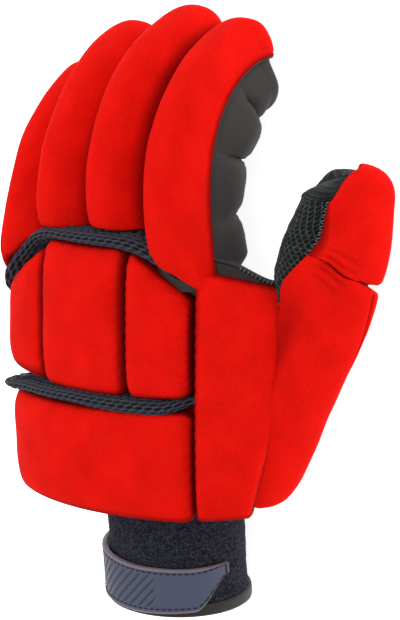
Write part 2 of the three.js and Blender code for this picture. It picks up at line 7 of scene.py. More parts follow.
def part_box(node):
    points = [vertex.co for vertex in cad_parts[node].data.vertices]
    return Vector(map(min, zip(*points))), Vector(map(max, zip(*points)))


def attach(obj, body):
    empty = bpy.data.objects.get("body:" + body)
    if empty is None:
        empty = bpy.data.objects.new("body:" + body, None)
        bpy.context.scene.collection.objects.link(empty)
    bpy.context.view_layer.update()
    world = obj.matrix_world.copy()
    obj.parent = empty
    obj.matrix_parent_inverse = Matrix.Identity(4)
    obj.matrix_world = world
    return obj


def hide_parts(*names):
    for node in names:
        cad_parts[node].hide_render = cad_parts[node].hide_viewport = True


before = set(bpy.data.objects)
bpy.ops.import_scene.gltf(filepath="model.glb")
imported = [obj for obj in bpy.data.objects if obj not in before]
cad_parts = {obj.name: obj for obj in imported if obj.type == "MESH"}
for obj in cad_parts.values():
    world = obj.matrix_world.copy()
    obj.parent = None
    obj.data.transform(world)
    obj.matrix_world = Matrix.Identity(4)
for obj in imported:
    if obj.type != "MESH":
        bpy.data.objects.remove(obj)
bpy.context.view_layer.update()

# Left-hand field hockey glove, lying palm down. Sizes are in millimetres, in the frame that the
# part's source uses; toWorld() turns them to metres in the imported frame.


def lerp(a, b, t):
    return a + (b - a) * t


def smooth(t):
    c = np.clip(t, 0, 1)
    return c * c * (3 - 2 * c)


def dome(t, power):
    return np.maximum(0, 1 - np.abs(2 * np.asarray(t, float) - 1) ** power) ** (1 / power)


def spread(t):
    return 0.5 - 0.5 * np.cos(np.pi * np.asarray(t, float))


def eased(t, share):
    # a grid's places with a share of the crowding towards both of its ends
    return lerp(t, spread(t), share)


def vec(x, y, z):
    return np.stack(np.broadcast_arrays(x, y, z), axis=-1).astype(float)


def readRows(rows, at, column=1):
    # eased reading of a short table, so a fine mesh shows no corner at a row
    places = [row[0] for row in rows]
    fine = np.linspace(places[0], places[-1], 241)
    values = np.interp(fine, places, [row[column] for row in rows])
    kernel = np.hanning(31)
    kernel /= kernel.sum()
    values = np.convolve(np.pad(values, 15, mode="edge"), kernel, mode="valid")
    return np.interp(at, fine, values)


def bump(t, centre, width):
    return np.exp(-((np.asarray(t, float) - centre) / width) ** 2)


def fractal(points, scale, seed=0.0, octaves=3):
    # smooth noise, about -1 to 1, with features about scale millimetres wide
    flat = np.asarray(points, float).reshape(-1, 3) / scale
    out = np.zeros(len(flat))
    for k in range(octaves):
        f = 2.0 ** k
        out += np.array([noise.noise(Vector((a * f + seed, b * f - seed, c * f + 7 * k)))
                         for a, b, c in flat]) / f
    return out.reshape(np.asarray(points).shape[:-1])


def gridOf(along, across, ring=False):
    # v runs along the piece and u across it
    v = np.linspace(0, 1, along + 1)[:, None]
    u = np.linspace(0, 1, across + 1)[None, :]
    if ring:
        u = u[:, :-1]
    return np.broadcast_arrays(v, u)


def unit(vectors):
    return vectors / np.maximum(np.linalg.norm(vectors, axis=-1, keepdims=True), 1e-9)


def lengthAlong(points, axis):
    # the distance run along a grid's rows or columns
    steps = np.linalg.norm(np.diff(points, axis=axis), axis=-1)
    return np.concatenate([0 * steps.take([0], axis), np.cumsum(steps, axis=axis)], axis=axis)


def normalsOf(points, ring=False):
    dv = np.gradient(points, axis=0)
    if ring:
        du = np.roll(points, -1, axis=1) - np.roll(points, 1, axis=1)
    else:
        du = np.gradient(points, axis=1)
    return unit(np.cross(du, dv))


def outwardOf(outer, inner):
    # normals that point away from the inner surface
    normal = normalsOf(outer)
    return normal * np.sign(np.sum(normal * (outer - inner)))


def tubeOutward(outer):
    # normals that point away from the tube's middle line
    normal = normalsOf(outer, ring=True)
    middle = outer.mean(axis=1, keepdims=True)
    return normal * np.sign(np.sum(normal * (outer - middle), axis=-1, keepdims=True))


def settle(points, lowest):
    points = points.copy()
    points[..., 2] = np.maximum(points[..., 2], lowest)
    return points


def linear(hexColour):
    raw = [int(hexColour[k:k + 2], 16) / 255 for k in (1, 3, 5)]
    return tuple([c / 12.92 if c <= 0.04045 else ((c + 0.055) / 1.055) ** 2.4 for c in raw] + [1.0])


def setInputs(node, inputs):
    # an input is a value, another node's output, or a node that stands for its first output in use
    for socket, value in inputs.items():
        if isinstance(value, bpy.types.Node):
            value = next(output for output in value.outputs if output.enabled)
        if isinstance(value, bpy.types.NodeSocket):
            node.id_data.links.new(value, node.inputs[socket])
        else:
            node.inputs[socket].default_value = value


def addNode(tree, kind, inputs=None, **settings):
    node = tree.nodes.new("ShaderNode" + kind)
    for name, value in settings.items():
        setattr(node, name, value)
    setInputs(node, inputs or {})
    return node


def startMaterial(name, roughness, specular, sheen=0.0, sheenTint="#FFFFFF"):
    material = bpy.data.materials.new(name)
    material.use_nodes = True
    setInputs(material.node_tree.nodes["Principled BSDF"], {
        "Roughness": roughness, "Specular IOR Level": specular, "Sheen Weight": sheen,
        "Sheen Roughness": 0.5, "Sheen Tint": linear(sheenTint)})
    return material, material.node_tree


def endMaterial(material, colour, height=None, strength=0.5, bumpMm=0.1, invert=False):
    # the colour, and the height of the surface's own relief
    tree = material.node_tree
    shader = tree.nodes["Principled BSDF"]
    setInputs(shader, {"Base Color": colour})
    if height is not None:
        relief = addNode(tree, "Bump", {"Height": height, "Strength": strength,
                                        "Distance": bumpMm / 1000}, invert=invert)
        setInputs(shader, {"Normal": relief})
    return material


def setStops(ramp, first, middle, last):
    # a colour ramp's three places and their colours
    elements = ramp.color_ramp.elements
    for element, (place, colour) in zip(elements, (first, last)):
        element.position = place
        element.color = linear(colour)
    elements.new(middle[0]).color = linear(middle[1])


def bandScale(apartMm):
    # at a scale of 1, a wave texture has a band every 0.314 mm of the mm map
    return 0.314 / apartMm


print("stage: materials")

# Polyester jersey, circular knitted and glued over foam: matt, soft at the edges, with wales
# about 0.5 mm apart that only just show, and a slow change of tone where the foam is uneven.
# The relief attribute is 0 at a sewn edge and 1 on a pad's face; towards 0 the knit gets painted shade.
redKnit = {"colour": "#DC1108", "light": "#E4140A", "deep": "#D00F07", "paintedEdgeShade": "#7C0402",
           "waleMm": 1.0, "courseMm": 0.8, "bumpMm": 0.10}


def makeRedKnit():
    material, tree = startMaterial("polyester_jersey_red", roughness=0.9, specular=0.04, sheen=0.04,
                                   sheenTint="#FF3020")
    uv = addNode(tree, "UVMap", uv_map="mm")
    # the wales are drawn at twice their real spacing, so that they show in the render
    wales = addNode(tree, "TexWave", {"Vector": uv, "Scale": bandScale(redKnit["waleMm"]),
                    "Distortion": 1.2, "Detail": 2.0, "Detail Scale": 1.5}, bands_direction="X")
    courses = addNode(tree, "TexWave", {"Vector": uv, "Scale": bandScale(redKnit["courseMm"]),
                      "Distortion": 1.0}, bands_direction="Y")
    weave = addNode(tree, "Mix", {"Factor": 0.4, "A": wales.outputs["Fac"],
                    "B": courses.outputs["Fac"]}, data_type="FLOAT")
    slow = addNode(tree, "TexNoise", {"Vector": uv, "Scale": 0.05, "Detail": 3.0})
    fine = addNode(tree, "TexNoise", {"Vector": uv, "Scale": 0.8, "Detail": 4.0})
    tone = addNode(tree, "ValToRGB", {"Fac": slow})
    setStops(tone, (0.3, redKnit["deep"]), (0.48, redKnit["colour"]), (0.65, redKnit["light"]))
    fleck = addNode(tree, "MapRange", {"Value": fine, "From Min": 0.3, "From Max": 0.7,
                    "To Min": 0.9, "To Max": 1.06})
    knit = addNode(tree, "MapRange", {"Value": weave, "To Min": 0.93, "To Max": 1.03})
    both = addNode(tree, "Math", {0: fleck, 1: knit}, operation="MULTIPLY")
    colour = addNode(tree, "VectorMath", {"Vector": tone, "Scale": both}, operation="SCALE")
    # painted shade: the knit darkens to a deep red towards the pads' sewn edges, in the gullies between
    # them
    paintedEdgeShade = addNode(tree, "Attribute", attribute_name="relief").outputs["Fac"]
    withEdgeShade = addNode(tree, "Mix", {"Factor": paintedEdgeShade, "A": linear(redKnit["paintedEdgeShade"]), "B": colour},
                   data_type="RGBA")
    return endMaterial(material, withEdgeShade, weave, strength=0.6, bumpMm=redKnit["bumpMm"])


# Coagulated synthetic suede leather: even charcoal, nearly matt, with a fine grain
charcoalLeather = {"colour": "#3A3635", "dark": "#2C2928", "grainMm": 0.9, "bumpMm": 0.12}


def makeCharcoalLeather():
    material, tree = startMaterial("synthetic_suede_charcoal", roughness=0.66, specular=0.22, sheen=0.05,
                                   sheenTint="#8A8482")
    uv = addNode(tree, "UVMap", uv_map="mm")
    slow = addNode(tree, "TexNoise", {"Vector": uv, "Scale": 0.07, "Detail": 4.0})
    grain = addNode(tree, "TexVoronoi", {"Vector": uv, "Scale": 1 / charcoalLeather["grainMm"]},
                    feature="DISTANCE_TO_EDGE")
    fine = addNode(tree, "TexNoise", {"Vector": uv, "Scale": 2.0, "Detail": 3.0})
    height = addNode(tree, "Mix", {"Factor": 0.45, "A": grain, "B": fine}, data_type="FLOAT")
    colour = addNode(tree, "Mix", {"Factor": slow, "A": linear(charcoalLeather["dark"]),
                     "B": linear(charcoalLeather["colour"])}, data_type="RGBA")
    return endMaterial(material, colour, height, strength=0.5, bumpMm=charcoalLeather["bumpMm"])


# Warp-knitted nylon meshes: the threads stand up and catch the light, and the holes are black.
# The relief attribute is 1 on a thread and 0 in a hole.
blackMesh = {"name": "spacer_mesh_black", "thread": "#566060", "hole": "#030404", "bumpMm": 0.25}
darkMesh = {"name": "elastic_mesh_charcoal", "thread": "#3A3D49", "hole": "#08090D", "bumpMm": 0.25}


def makeMesh(knit):
    material, tree = startMaterial(knit["name"], roughness=0.75, specular=0.22, sheen=0.04,
                                   sheenTint="#9AA0B0")
    uv = addNode(tree, "UVMap", uv_map="mm")
    height = addNode(tree, "Attribute", attribute_name="relief").outputs["Fac"]
    fibre = addNode(tree, "TexNoise", {"Vector": uv, "Scale": 1.6, "Detail": 4.0})
    mottled = addNode(tree, "MapRange", {"Value": fibre, "To Min": 0.6, "To Max": 1.35})
    lit = addNode(tree, "VectorMath", {"Vector": linear(knit["thread"])[:3], "Scale": mottled},
                  operation="SCALE")
    colour = addNode(tree, "Mix", {"Factor": height, "A": linear(knit["hole"]), "B": lit},
                     data_type="RGBA")
    return endMaterial(material, colour, fibre, strength=0.6, bumpMm=knit["bumpMm"])


# Looped towelling knit of the cuff, navy charcoal: small curls of yarn, some of them lighter
cuffKnit = {"yarn": "#25262F", "curl": "#393B47", "hole": "#15161C", "loopMm": 1.0, "bumpMm": 0.6}


def makeCuffKnit():
    material, tree = startMaterial("looped_knit_navy", roughness=0.95, specular=0.1, sheen=0.1,
                                   sheenTint="#7C8094")
    uv = addNode(tree, "UVMap", uv_map="mm")
    bend = addNode(tree, "TexNoise", {"Vector": uv, "Scale": 0.7, "Detail": 2.0}).outputs["Color"]
    shifted = addNode(tree, "VectorMath", {0: bend, 1: (1.4, 1.4, 0.0), 2: uv}, operation="MULTIPLY_ADD")
    loops = addNode(tree, "TexVoronoi", {"Vector": shifted, "Scale": 1 / cuffKnit["loopMm"],
                    "Smoothness": 0.3}, feature="SMOOTH_F1")
    speck = addNode(tree, "TexNoise", {"Vector": uv, "Scale": 0.9, "Detail": 5.0, "Roughness": 0.7})
    mixed = addNode(tree, "Mix", {"Factor": 0.5, "A": loops, "B": speck}, data_type="FLOAT")
    tone = addNode(tree, "ValToRGB", {"Fac": mixed})
    setStops(tone, (0.32, cuffKnit["curl"]), (0.45, cuffKnit["yarn"]), (0.62, cuffKnit["hole"]))
    return endMaterial(material, tone, mixed, strength=0.8, bumpMm=cuffKnit["bumpMm"], invert=True)


# Woven nylon tape folded over the hem: dark brown black, fine ribs across it, slightly glossy
hemTape = {"dark": "#1B1615", "light": "#2A2322", "ribMm": 0.9, "bumpMm": 0.2}


def makeHemTape():
    material, tree = startMaterial("woven_tape_black", roughness=0.5, specular=0.3)
    uv = addNode(tree, "UVMap", uv_map="mm")
    ribs = addNode(tree, "TexWave", {"Vector": uv, "Scale": bandScale(hemTape["ribMm"]),
                   "Distortion": 0.6}, bands_direction="X").outputs["Fac"]
    colour = addNode(tree, "Mix", {"Factor": ribs, "A": linear(hemTape["dark"]),
                     "B": linear(hemTape["light"])}, data_type="RGBA")
    return endMaterial(material, colour, ribs, strength=0.5, bumpMm=hemTape["bumpMm"])


# Moulded thermoplastic rubber of the strap's tab: slate blue with slanted ribs, satin, and a
# greyer rim. The relief attribute is 0 in a groove, 1 on a rib or the field, and 2 on the rim.
strapRubber = {"field": "#454A60", "groove": "#393C4A", "rim": "#786F77", "bumpMm": 0.1}


def makeStrapRubber():
    material, tree = startMaterial("moulded_rubber_slate", roughness=0.5, specular=0.3)
    uv = addNode(tree, "UVMap", uv_map="mm")
    height = addNode(tree, "Attribute", attribute_name="relief").outputs["Fac"]
    onRim = addNode(tree, "MapRange", {"Value": height, "From Min": 1.0, "From Max": 2.0})
    ribs = addNode(tree, "Mix", {"Factor": height, "A": linear(strapRubber["groove"]),
                   "B": linear(strapRubber["field"])}, data_type="RGBA")
    colour = addNode(tree, "Mix", {"Factor": onRim, "A": ribs, "B": linear(strapRubber["rim"])},
                     data_type="RGBA")
    grit = addNode(tree, "TexNoise", {"Vector": uv, "Scale": 1.5, "Detail": 3.0})
    return endMaterial(material, colour, grit, strength=0.3, bumpMm=strapRubber["bumpMm"])


# Twisted polyester sewing thread: round, slightly glossy
def makeThread(name, colour):
    material, tree = startMaterial(name, roughness=0.5, specular=0.4)
    place = addNode(tree, "TexCoord").outputs["Object"]
    twist = addNode(tree, "TexNoise", {"Vector": place, "Scale": 1500.0, "Detail": 2.0})
    shade = addNode(tree, "MapRange", {"Value": twist, "To Min": 0.75, "To Max": 1.25})
    tinted = addNode(tree, "VectorMath", {"Vector": linear(colour)[:3], "Scale": shade},
                     operation="SCALE")
    return endMaterial(material, tinted)


materials = {
    "red_knit": makeRedKnit(), "charcoal_leather": makeCharcoalLeather(),
    "black_mesh": makeMesh(blackMesh), "dark_mesh": makeMesh(darkMesh), "cuff_knit": makeCuffKnit(),
    "hem_tape": makeHemTape(), "strap_rubber": makeStrapRubber(),
}
threadDark = makeThread("sewing_thread_dark", "#17171C")
threadGrey = makeThread("sewing_thread_grey", "#6E7878")


shift = np.zeros(3)  # from the source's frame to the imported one, found below from the cuff


def toWorld(points):
    return (np.asarray(points, float).reshape(-1, 3) + shift) / 1000


def addObject(name, data):
    item = bpy.data.objects.new(name, data)
    bpy.context.scene.collection.objects.link(item)
    return item


def addMesh(name, points, faces, material, uvs=None, reliefs=None, sharp=60):
    mesh = bpy.data.meshes.new(name)
    mesh.from_pydata(toWorld(points).tolist(), [], faces)
    if uvs is not None:
        layer = mesh.uv_layers.new(name="mm")
        layer.data.foreach_set("uv", np.asarray(uvs, np.float32).ravel())
    if reliefs is not None:
        attribute = mesh.attributes.new("relief", "FLOAT", "POINT")
        attribute.data.foreach_set("value", np.asarray(reliefs, np.float32).ravel())
    mesh.polygons.foreach_set("use_smooth", np.ones(len(mesh.polygons), bool))
    mesh.set_sharp_from_angle(angle=math.radians(sharp))
    mesh.materials.append(material)
    return addObject(name, mesh)


coarse = 6  # the inner surfaces, which hardly show, keep every sixth row and column


def addShell(name, outer, inner, material, ring=False, pole=False, relief=None):
    # a closed body between two surfaces that are read on the same grid
    rows, columns = outer.shape[:2]
    closed = np.concatenate([outer, outer[:, :1]], axis=1) if ring else outer
    uMm = lengthAlong(closed, 1)
    uMm = uMm - uMm[:, -1:] / 2
    vMm = lengthAlong(closed, 0).mean(axis=1, keepdims=True) + 0 * uMm
    wide = columns if ring else columns - 1
    assert (rows - 1) % coarse == 0 and wide % coarse == 0, name
    rowsIn, colsIn = np.arange(0, rows, coarse), np.arange(0, wide + 1, coarse)
    kept = np.ix_(rowsIn, colsIn[:-1] if ring else colsIn)
    keep = inner[kept]
    points = np.concatenate([outer.reshape(-1, 3), keep.reshape(-1, 3)])
    size, inWide = rows * columns, keep.shape[1]
    faces, corners = [], []

    def addFace(spots):
        # a spot is a row, a column, and 0 on the outer surface or 1 on the inner one
        faces.append([size + i // coarse * inWide + j // coarse % inWide if inside
                      else i * columns + j % columns for i, j, inside in spots])
        corners.extend((i, j) for i, j, _ in spots)

    i, j = (k.ravel() for k in np.meshgrid(np.arange(rows - 1), np.arange(wide), indexing="ij"))
    spots = np.stack([i, j, i, j + 1, i + 1, j + 1, i + 1, j], 1).reshape(-1, 4, 2)
    faces += (spots[..., 0] * columns + spots[..., 1] % columns).tolist()
    corners += spots.reshape(-1, 2).tolist()
    for r in rowsIn[:-1]:
        for c in colsIn[:-1]:
            addFace([(r, c, 1), (r + coarse, c, 1), (r + coarse, c + coarse, 1), (r, c + coarse, 1)])
    for c in colsIn[:-1]:
        run = [(0, c + n, 0) for n in range(coarse + 1)]
        addFace([(0, c, 1), (0, c + coarse, 1)] + run[::-1])
        if not pole:
            run = [(rows - 1, c + n, 0) for n in range(coarse + 1)]
            addFace(run + [(rows - 1, c + coarse, 1), (rows - 1, c, 1)])
    if not ring:
        for r in rowsIn[:-1]:
            run = [(r + n, 0, 0) for n in range(coarse + 1)]
            addFace(run + [(r + coarse, 0, 1), (r, 0, 1)])
            run = [(r + n, wide, 0) for n in range(coarse + 1)]
            addFace([(r, wide, 1), (r + coarse, wide, 1)] + run[::-1])
    uvs = [(uMm[i, j], vMm[i, j]) for i, j in corners]
    reliefs = None if relief is None else np.concatenate([relief.ravel(), relief[kept].ravel()])
    if pole:
        # a fan closes each surface at its last row
        for last, base, count, flip in ((outer[-1], (rows - 1) * columns, columns, False),
                                        (keep[-1], size + (len(rowsIn) - 1) * inWide, inWide, True)):
            points = np.concatenate([points, last.mean(axis=0)[None]])
            centre = len(points) - 1
            for n in range(count):
                a, b = base + n, base + (n + 1) % count
                faces.append([b, a, centre] if flip else [a, b, centre])
                uvs += [(uMm[-1, 0], vMm[-1, 0])] * 3
            if reliefs is not None:
                reliefs = np.append(reliefs, relief[-1].mean())
    # turn the faces outward where the grid runs the other way round
    first = points[np.array([face[:3] for face in faces])]
    normal = np.cross(first[:, 1] - first[:, 0], first[:, 2] - first[:, 0])
    if np.einsum("ij,ij->", normal, first[:, 0] - points.mean(axis=0)) < 0:
        turned, start = [], 0
        for face in faces:
            turned += uvs[start:start + len(face)][::-1]
            start += len(face)
        uvs = turned
        faces = [face[::-1] for face in faces]
    return addMesh(name, points, faces, material, uvs, reliefs)


def tubeAlong(path, radius, sides=6):
    # a thread or cord that follows a path of points
    path = np.asarray(path, float)
    t = unit(np.gradient(path, axis=0))
    a = unit(np.cross(t, [0.3, 0.1, 0.95]))  # no path here runs this way
    b = np.cross(t, a)
    turns = np.linspace(0, 2 * np.pi, sides, endpoint=False)
    # it thins out over its last two points
    fromEnd = np.minimum(np.arange(len(path)), np.arange(len(path))[::-1])
    r = (radius * np.minimum(1, fromEnd / 1.5 + 0.35))[:, None, None]
    rings = path[:, None] + r * (np.cos(turns)[:, None] * a[:, None] + np.sin(turns)[:, None] * b[:, None])
    last = len(path) - 1
    faces = [[i * sides + j, (i + 1) * sides + j, (i + 1) * sides + (j + 1) % sides,
              i * sides + (j + 1) % sides] for i in range(last) for j in range(sides)]
    faces.append(list(range(sides)))
    faces.append(list(range(last * sides, (last + 1) * sides))[::-1])
    return rings.reshape(-1, 3), faces


def addStitches(name, paths, radii, material):
    # many threads in one piece
    points, faces, start = [], [], 0
    for path, radius in zip(paths, np.broadcast_to(radii, len(paths))):
        p, f = tubeAlong(path, radius)
        points.append(p)
        faces += [[start + k for k in face] for face in f]
        start += len(p)
    return addMesh(name, np.concatenate(points), faces, material, sharp=80)


def finishPiece(piece, nodes):
    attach(piece, "root")
    if nodes:
        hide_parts(*nodes)
    return piece


print("stage: hand")
hand = {
    "gap": 0.35, "wall": 1.6, "archRadius": 115, "archCrown": 68, "rollRadius": 20,
    "rollStart": -50, "rollEnd": -78, "sideEnd": 95, "knuckle": -19, "wristTurn": -98,
    "wristEnd": -122, "middle": 14, "taperFrom": -78, "taperOver": 60, "taperShare": 0.03,
    "taperDrop": 2, "heelFrom": -88, "heelOver": 68, "heelLow": -4, "knuckleLow": 27, "palmPower": 3.2,
}
cuffShape = {
    "top": np.array([15.0, -104, 36]), "end": np.array([11.8, -167, 27.6]),
    "halfWidth": 35, "halfHeight": 27,
}


def backPoint(q, y, height):
    # q runs over the back of the hand in millimetres, from the little finger's side to the thumb's
    q, y, height = np.broadcast_arrays(np.asarray(q, float), y, height)
    big, small = hand["archRadius"], hand["rollRadius"]
    start = hand["rollStart"] / big
    onRoll = q < hand["rollStart"]
    turn = np.where(onRoll, start + (q - hand["rollStart"]) / small, q / big)
    x = np.where(onRoll, (big - small) * np.sin(start) + small * np.sin(turn), big * np.sin(turn))
    z = hand["archCrown"] - big + np.where(
        onRoll, (big - small) * np.cos(start) + small * np.cos(turn), big * np.cos(turn))
    taper = smooth((hand["taperFrom"] - y) / hand["taperOver"])
    x = hand["middle"] + (x - hand["middle"]) * (1 - hand["taperShare"] * taper)
    z = z - hand["taperDrop"] * taper
    return vec(x + np.sin(turn) * height, y, z + np.cos(turn) * height)


def palmPoint(t, y, inset):
    # t crosses the palm between the two edges of the back panel
    ends = (backPoint(hand[side] + 0 * t, y, -hand["gap"]) for side in ("rollEnd", "sideEnd"))
    edge = lerp(*ends, t[..., None])
    low = lerp(hand["heelLow"], hand["knuckleLow"], smooth((y - hand["heelFrom"]) / hand["heelOver"]))
    depth = dome(t, hand["palmPower"])
    x = edge[..., 0] + inset * (1 - 2 * t) * (1 - depth)
    return vec(x, y, lerp(edge[..., 2], low, depth) + inset * depth)


cuffAxis = cuffShape["end"] - cuffShape["top"]
cuffUp = unit(np.cross([1.0, 0, 0], cuffAxis))
cuffUp *= np.sign(cuffUp[2])


def cuffPoint(turn, s, grow):
    # turn goes once round the sleeve, and s runs from the hand to the hem
    turn, s, grow = np.broadcast_arrays(np.asarray(turn, float), s, grow)
    a = np.pi - turn * 2 * np.pi
    centre = cuffShape["top"] + s[..., None] * cuffAxis
    across = (np.cos(a) * (cuffShape["halfWidth"] + grow))[..., None] * np.array([1.0, 0, 0])
    return centre + across + (np.sin(a) * (cuffShape["halfHeight"] + grow))[..., None] * cuffUp


def handPoint(turn, y, inset):
    # turn 0 to 0.5 crosses the back of the hand, and 0.5 to 1 comes back across the palm
    turn, y = np.broadcast_arrays(turn, y)
    upper = backPoint(lerp(hand["rollEnd"], hand["sideEnd"], turn * 2), y, -hand["gap"] - inset)
    lower = palmPoint(np.clip(2 - turn * 2, 0, 1), y, inset)
    skin = np.where((turn <= 0.5)[..., None], upper, lower)
    toCuff = smooth((hand["wristTurn"] - y) / (hand["wristTurn"] - hand["wristEnd"]))[..., None]
    s = (cuffShape["top"][1] - y) / (cuffShape["top"][1] - cuffShape["end"][1])
    onCuff = cuffPoint(turn, s, hand["gap"] + hand["wall"] - inset)
    onCuff[..., 1] = lerp(y, onCuff[..., 1], toCuff[..., 0])
    return settle(lerp(skin, onCuff, toCuff), inset)


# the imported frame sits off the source's frame by the place of the cuff
cuffV, cuffU = gridOf(3, 24, ring=True)
cuffGrid = cuffPoint(cuffU, cuffV, 0 * cuffU).reshape(-1, 3)
low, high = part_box("cuff")
shift[:2] = [(low[k] + high[k]) * 1000 / 2 - (cuffGrid[:, k].min() + cuffGrid[:, k].max()) / 2
             for k in (0, 1)]
print("shift in mm:", shift)


handCovers = {
    "back_panel_knit": {"node": "back_panel", "slot": "red_knit", "turn": (0, 0.496)},
    "palm_leather": {"node": "palm", "slot": "charcoal_leather", "turn": (0.5, 1), "edge": 0.0083},
}
# the seam under the thumb draws the leather in, and creases cross it where it folds round a stick
palmFolds = {"tuckMm": 7, "tuckPastTurn": 0.55, "creases": (-34, -52, -66), "creaseMm": 0.9,
             "creaseWideMm": 2.2, "roughMm": 0.5}


def handCover(name):
    cover = handCovers[name]
    v, u = gridOf(60, 120)
    turn = lerp(*cover["turn"], u)
    if "edge" in cover:
        # close columns up the steep side, so that the leather reaches the back panel's edge
        turn = 1 - lerp(cover["edge"], 1, spread(1 - u)) ** 3 / 2
    q = lerp(hand["rollEnd"], hand["sideEnd"], np.where(turn <= 0.5, turn * 2, 2 - turn * 2))
    # the front edge runs under the knuckles, and 6 mm further back at the sides
    rise = smooth((q + 78) / 60) * smooth((78 - q) / 40)
    front = lerp(hand["knuckle"] - 6, hand["knuckle"] - hand["gap"], rise)
    y = np.where(v < 0.5, lerp(front, hand["wristTurn"], v * 2),
                 lerp(hand["wristTurn"], hand["wristEnd"], v * 2 - 1))
    outer, inner = handPoint(turn, y, 0), handPoint(turn, y, hand["wall"])
    for surface in (outer, inner):
        tuck = smooth((surface[..., 0] - 58) / 22) * smooth((-70 - y) / 16) * smooth((y + 122) / 14)
        surface[..., 0] -= np.where(turn > palmFolds["tuckPastTurn"], palmFolds["tuckMm"] * tuck, 0)
    if cover["slot"] == "charcoal_leather":
        crease = sum(bump(y + 0.12 * outer[..., 0], place, palmFolds["creaseWideMm"])
                     for place in palmFolds["creases"])
        rough = palmFolds["roughMm"] * fractal(outer, 14, 3.0)
        crease = palmFolds["creaseMm"] * crease * smooth((fractal(outer, 40, 9.0) + 0.5))
        move = (rough - crease) * dome(u, 4)
        # the flat that it lies on stays flat
        move = np.where(outer[..., 2] < 1.5, np.minimum(move, 0), move)
        outer[..., 2] = np.maximum(outer[..., 2] - move, 0)
    shell = addShell(name, outer, inner, materials[cover["slot"]], relief=0 * u)
    return finishPiece(shell, [cover["node"]])


for name in handCovers:
    handCover(name)

print("stage: fingers")
fingers = {
    "index": {"x": 45, "z": 47, "reach": 106, "bendStart": -8, "bendEnd": 73, "roll": 20, "tip": 16,
              "start": [(0, -1), (0.2, -2.5), (0.45, -4.5), (0.85, -17), (1, -24)], "end": 1.84,
              "wrap": 98, "slim": 0, "flank": False,
              "narrow": {"mm": 4.2, "side": 1, "from": 0.7, "over": 0.45}},
    "middle": {"x": 14, "z": 51, "reach": 110.5, "bendStart": -8, "bendEnd": 77, "roll": 7, "tip": 16.5,
               "start": [(0, 3), (1, 4)], "end": 1.76, "wrap": 64, "slim": 0, "flank": True},
    "ring": {"x": -17, "z": 51, "reach": 95.5, "bendStart": -7, "bendEnd": 69, "roll": -8, "tip": 16.5,
             "start": [(0, -4), (1, 1)], "end": 1.76, "wrap": 64, "slim": 0, "flank": True,
             "narrow": {"mm": -1.4, "side": -1, "from": 0.6, "over": 0.4}},
    "little": {"x": -47, "z": 45, "reach": 70.5, "bendStart": -2, "bendEnd": 64, "roll": -22, "tip": 14,
               "start": [(0, -45), (0.2, -39), (0.34, -32), (0.61, -20), (0.8, -11), (1, -6)],
               "end": 1.76, "wrap": 64, "slim": 1.3, "flank": True,
               "narrow": {"mm": 2.4, "side": -1, "at": 0.2, "over": 0.3}},
}
fingerShape = {
    "bendPower": 1.9, "drift": -8, "padLow": 100, "padHigh": 64, "tipEnd": 1.86, "padEdge": 2.2,
    "depth": [(0, 20), (0.3, 25), (0.75, 27), (1, 19)], "rootPower": 3.2, "skinPower": 2.3,
    "rootHalf": 15.1, "skinHalf": 13, "padHalf": 14.9, "skinTop": (18.5, 9.5), "skinDip": 5,
    "padTop": (31, 19), "padDepth": 4, "tipSquare": 2.35,
}
padPower = 2.5
padWidthMm, thumbPadMm = 50, 80  # rough sizes, which set how wide the seams' shades are


def fingerAxis(finger):
    steps = 48
    bend = [math.radians(finger["bendStart"])]
    y, z = [hand["knuckle"]], [finger["z"]]
    for i in range(steps):
        t = (i + 0.5) / steps
        b = math.radians(lerp(finger["bendStart"], finger["bendEnd"], t ** fingerShape["bendPower"]))
        y.append(y[-1] + math.cos(b) * finger["reach"] / steps)
        z.append(z[-1] - math.sin(b) * finger["reach"] / steps)
        bend.append(b)
    return np.array(y), np.array(z), np.array(bend)


def tipTurn(s, squareness=fingerShape["tipSquare"]):
    # round a tip, with s from 1 to 2, the oval moves forward and shrinks to nothing
    turn = np.clip(s - 1, 0, 1) * np.pi / 2
    power = 2 / squareness
    return np.sin(turn) ** power, np.maximum(np.cos(turn), 0) ** power


def carriedOn(values, place):
    before = values[0] + (values[1] - values[0]) * np.minimum(place, 0)
    return np.where(place < 0, before, np.interp(place, np.arange(len(values)), values))


def ovalPoint(origin, forward, side, up, angle, size, grow, tip):
    # a point on a squarish oval round a path, with angle 0 on its back; size is its half width,
    # its height above and below, its length at the tip and its power
    half, above, depth, length, power = size
    lift, shrink = tip
    c, n = np.cos(angle), np.sin(angle)
    out = np.sign(n) * (half + grow) * np.abs(n) ** (2 / power)
    rise = np.sign(c) * (np.where(c >= 0, above, depth) + grow) * np.abs(c) ** (2 / power)
    point = (origin + side * (out * shrink)[..., None] + up * (rise * shrink)[..., None]
             + forward * ((length + grow) * lift)[..., None])
    return settle(point, np.maximum(0, -grow))


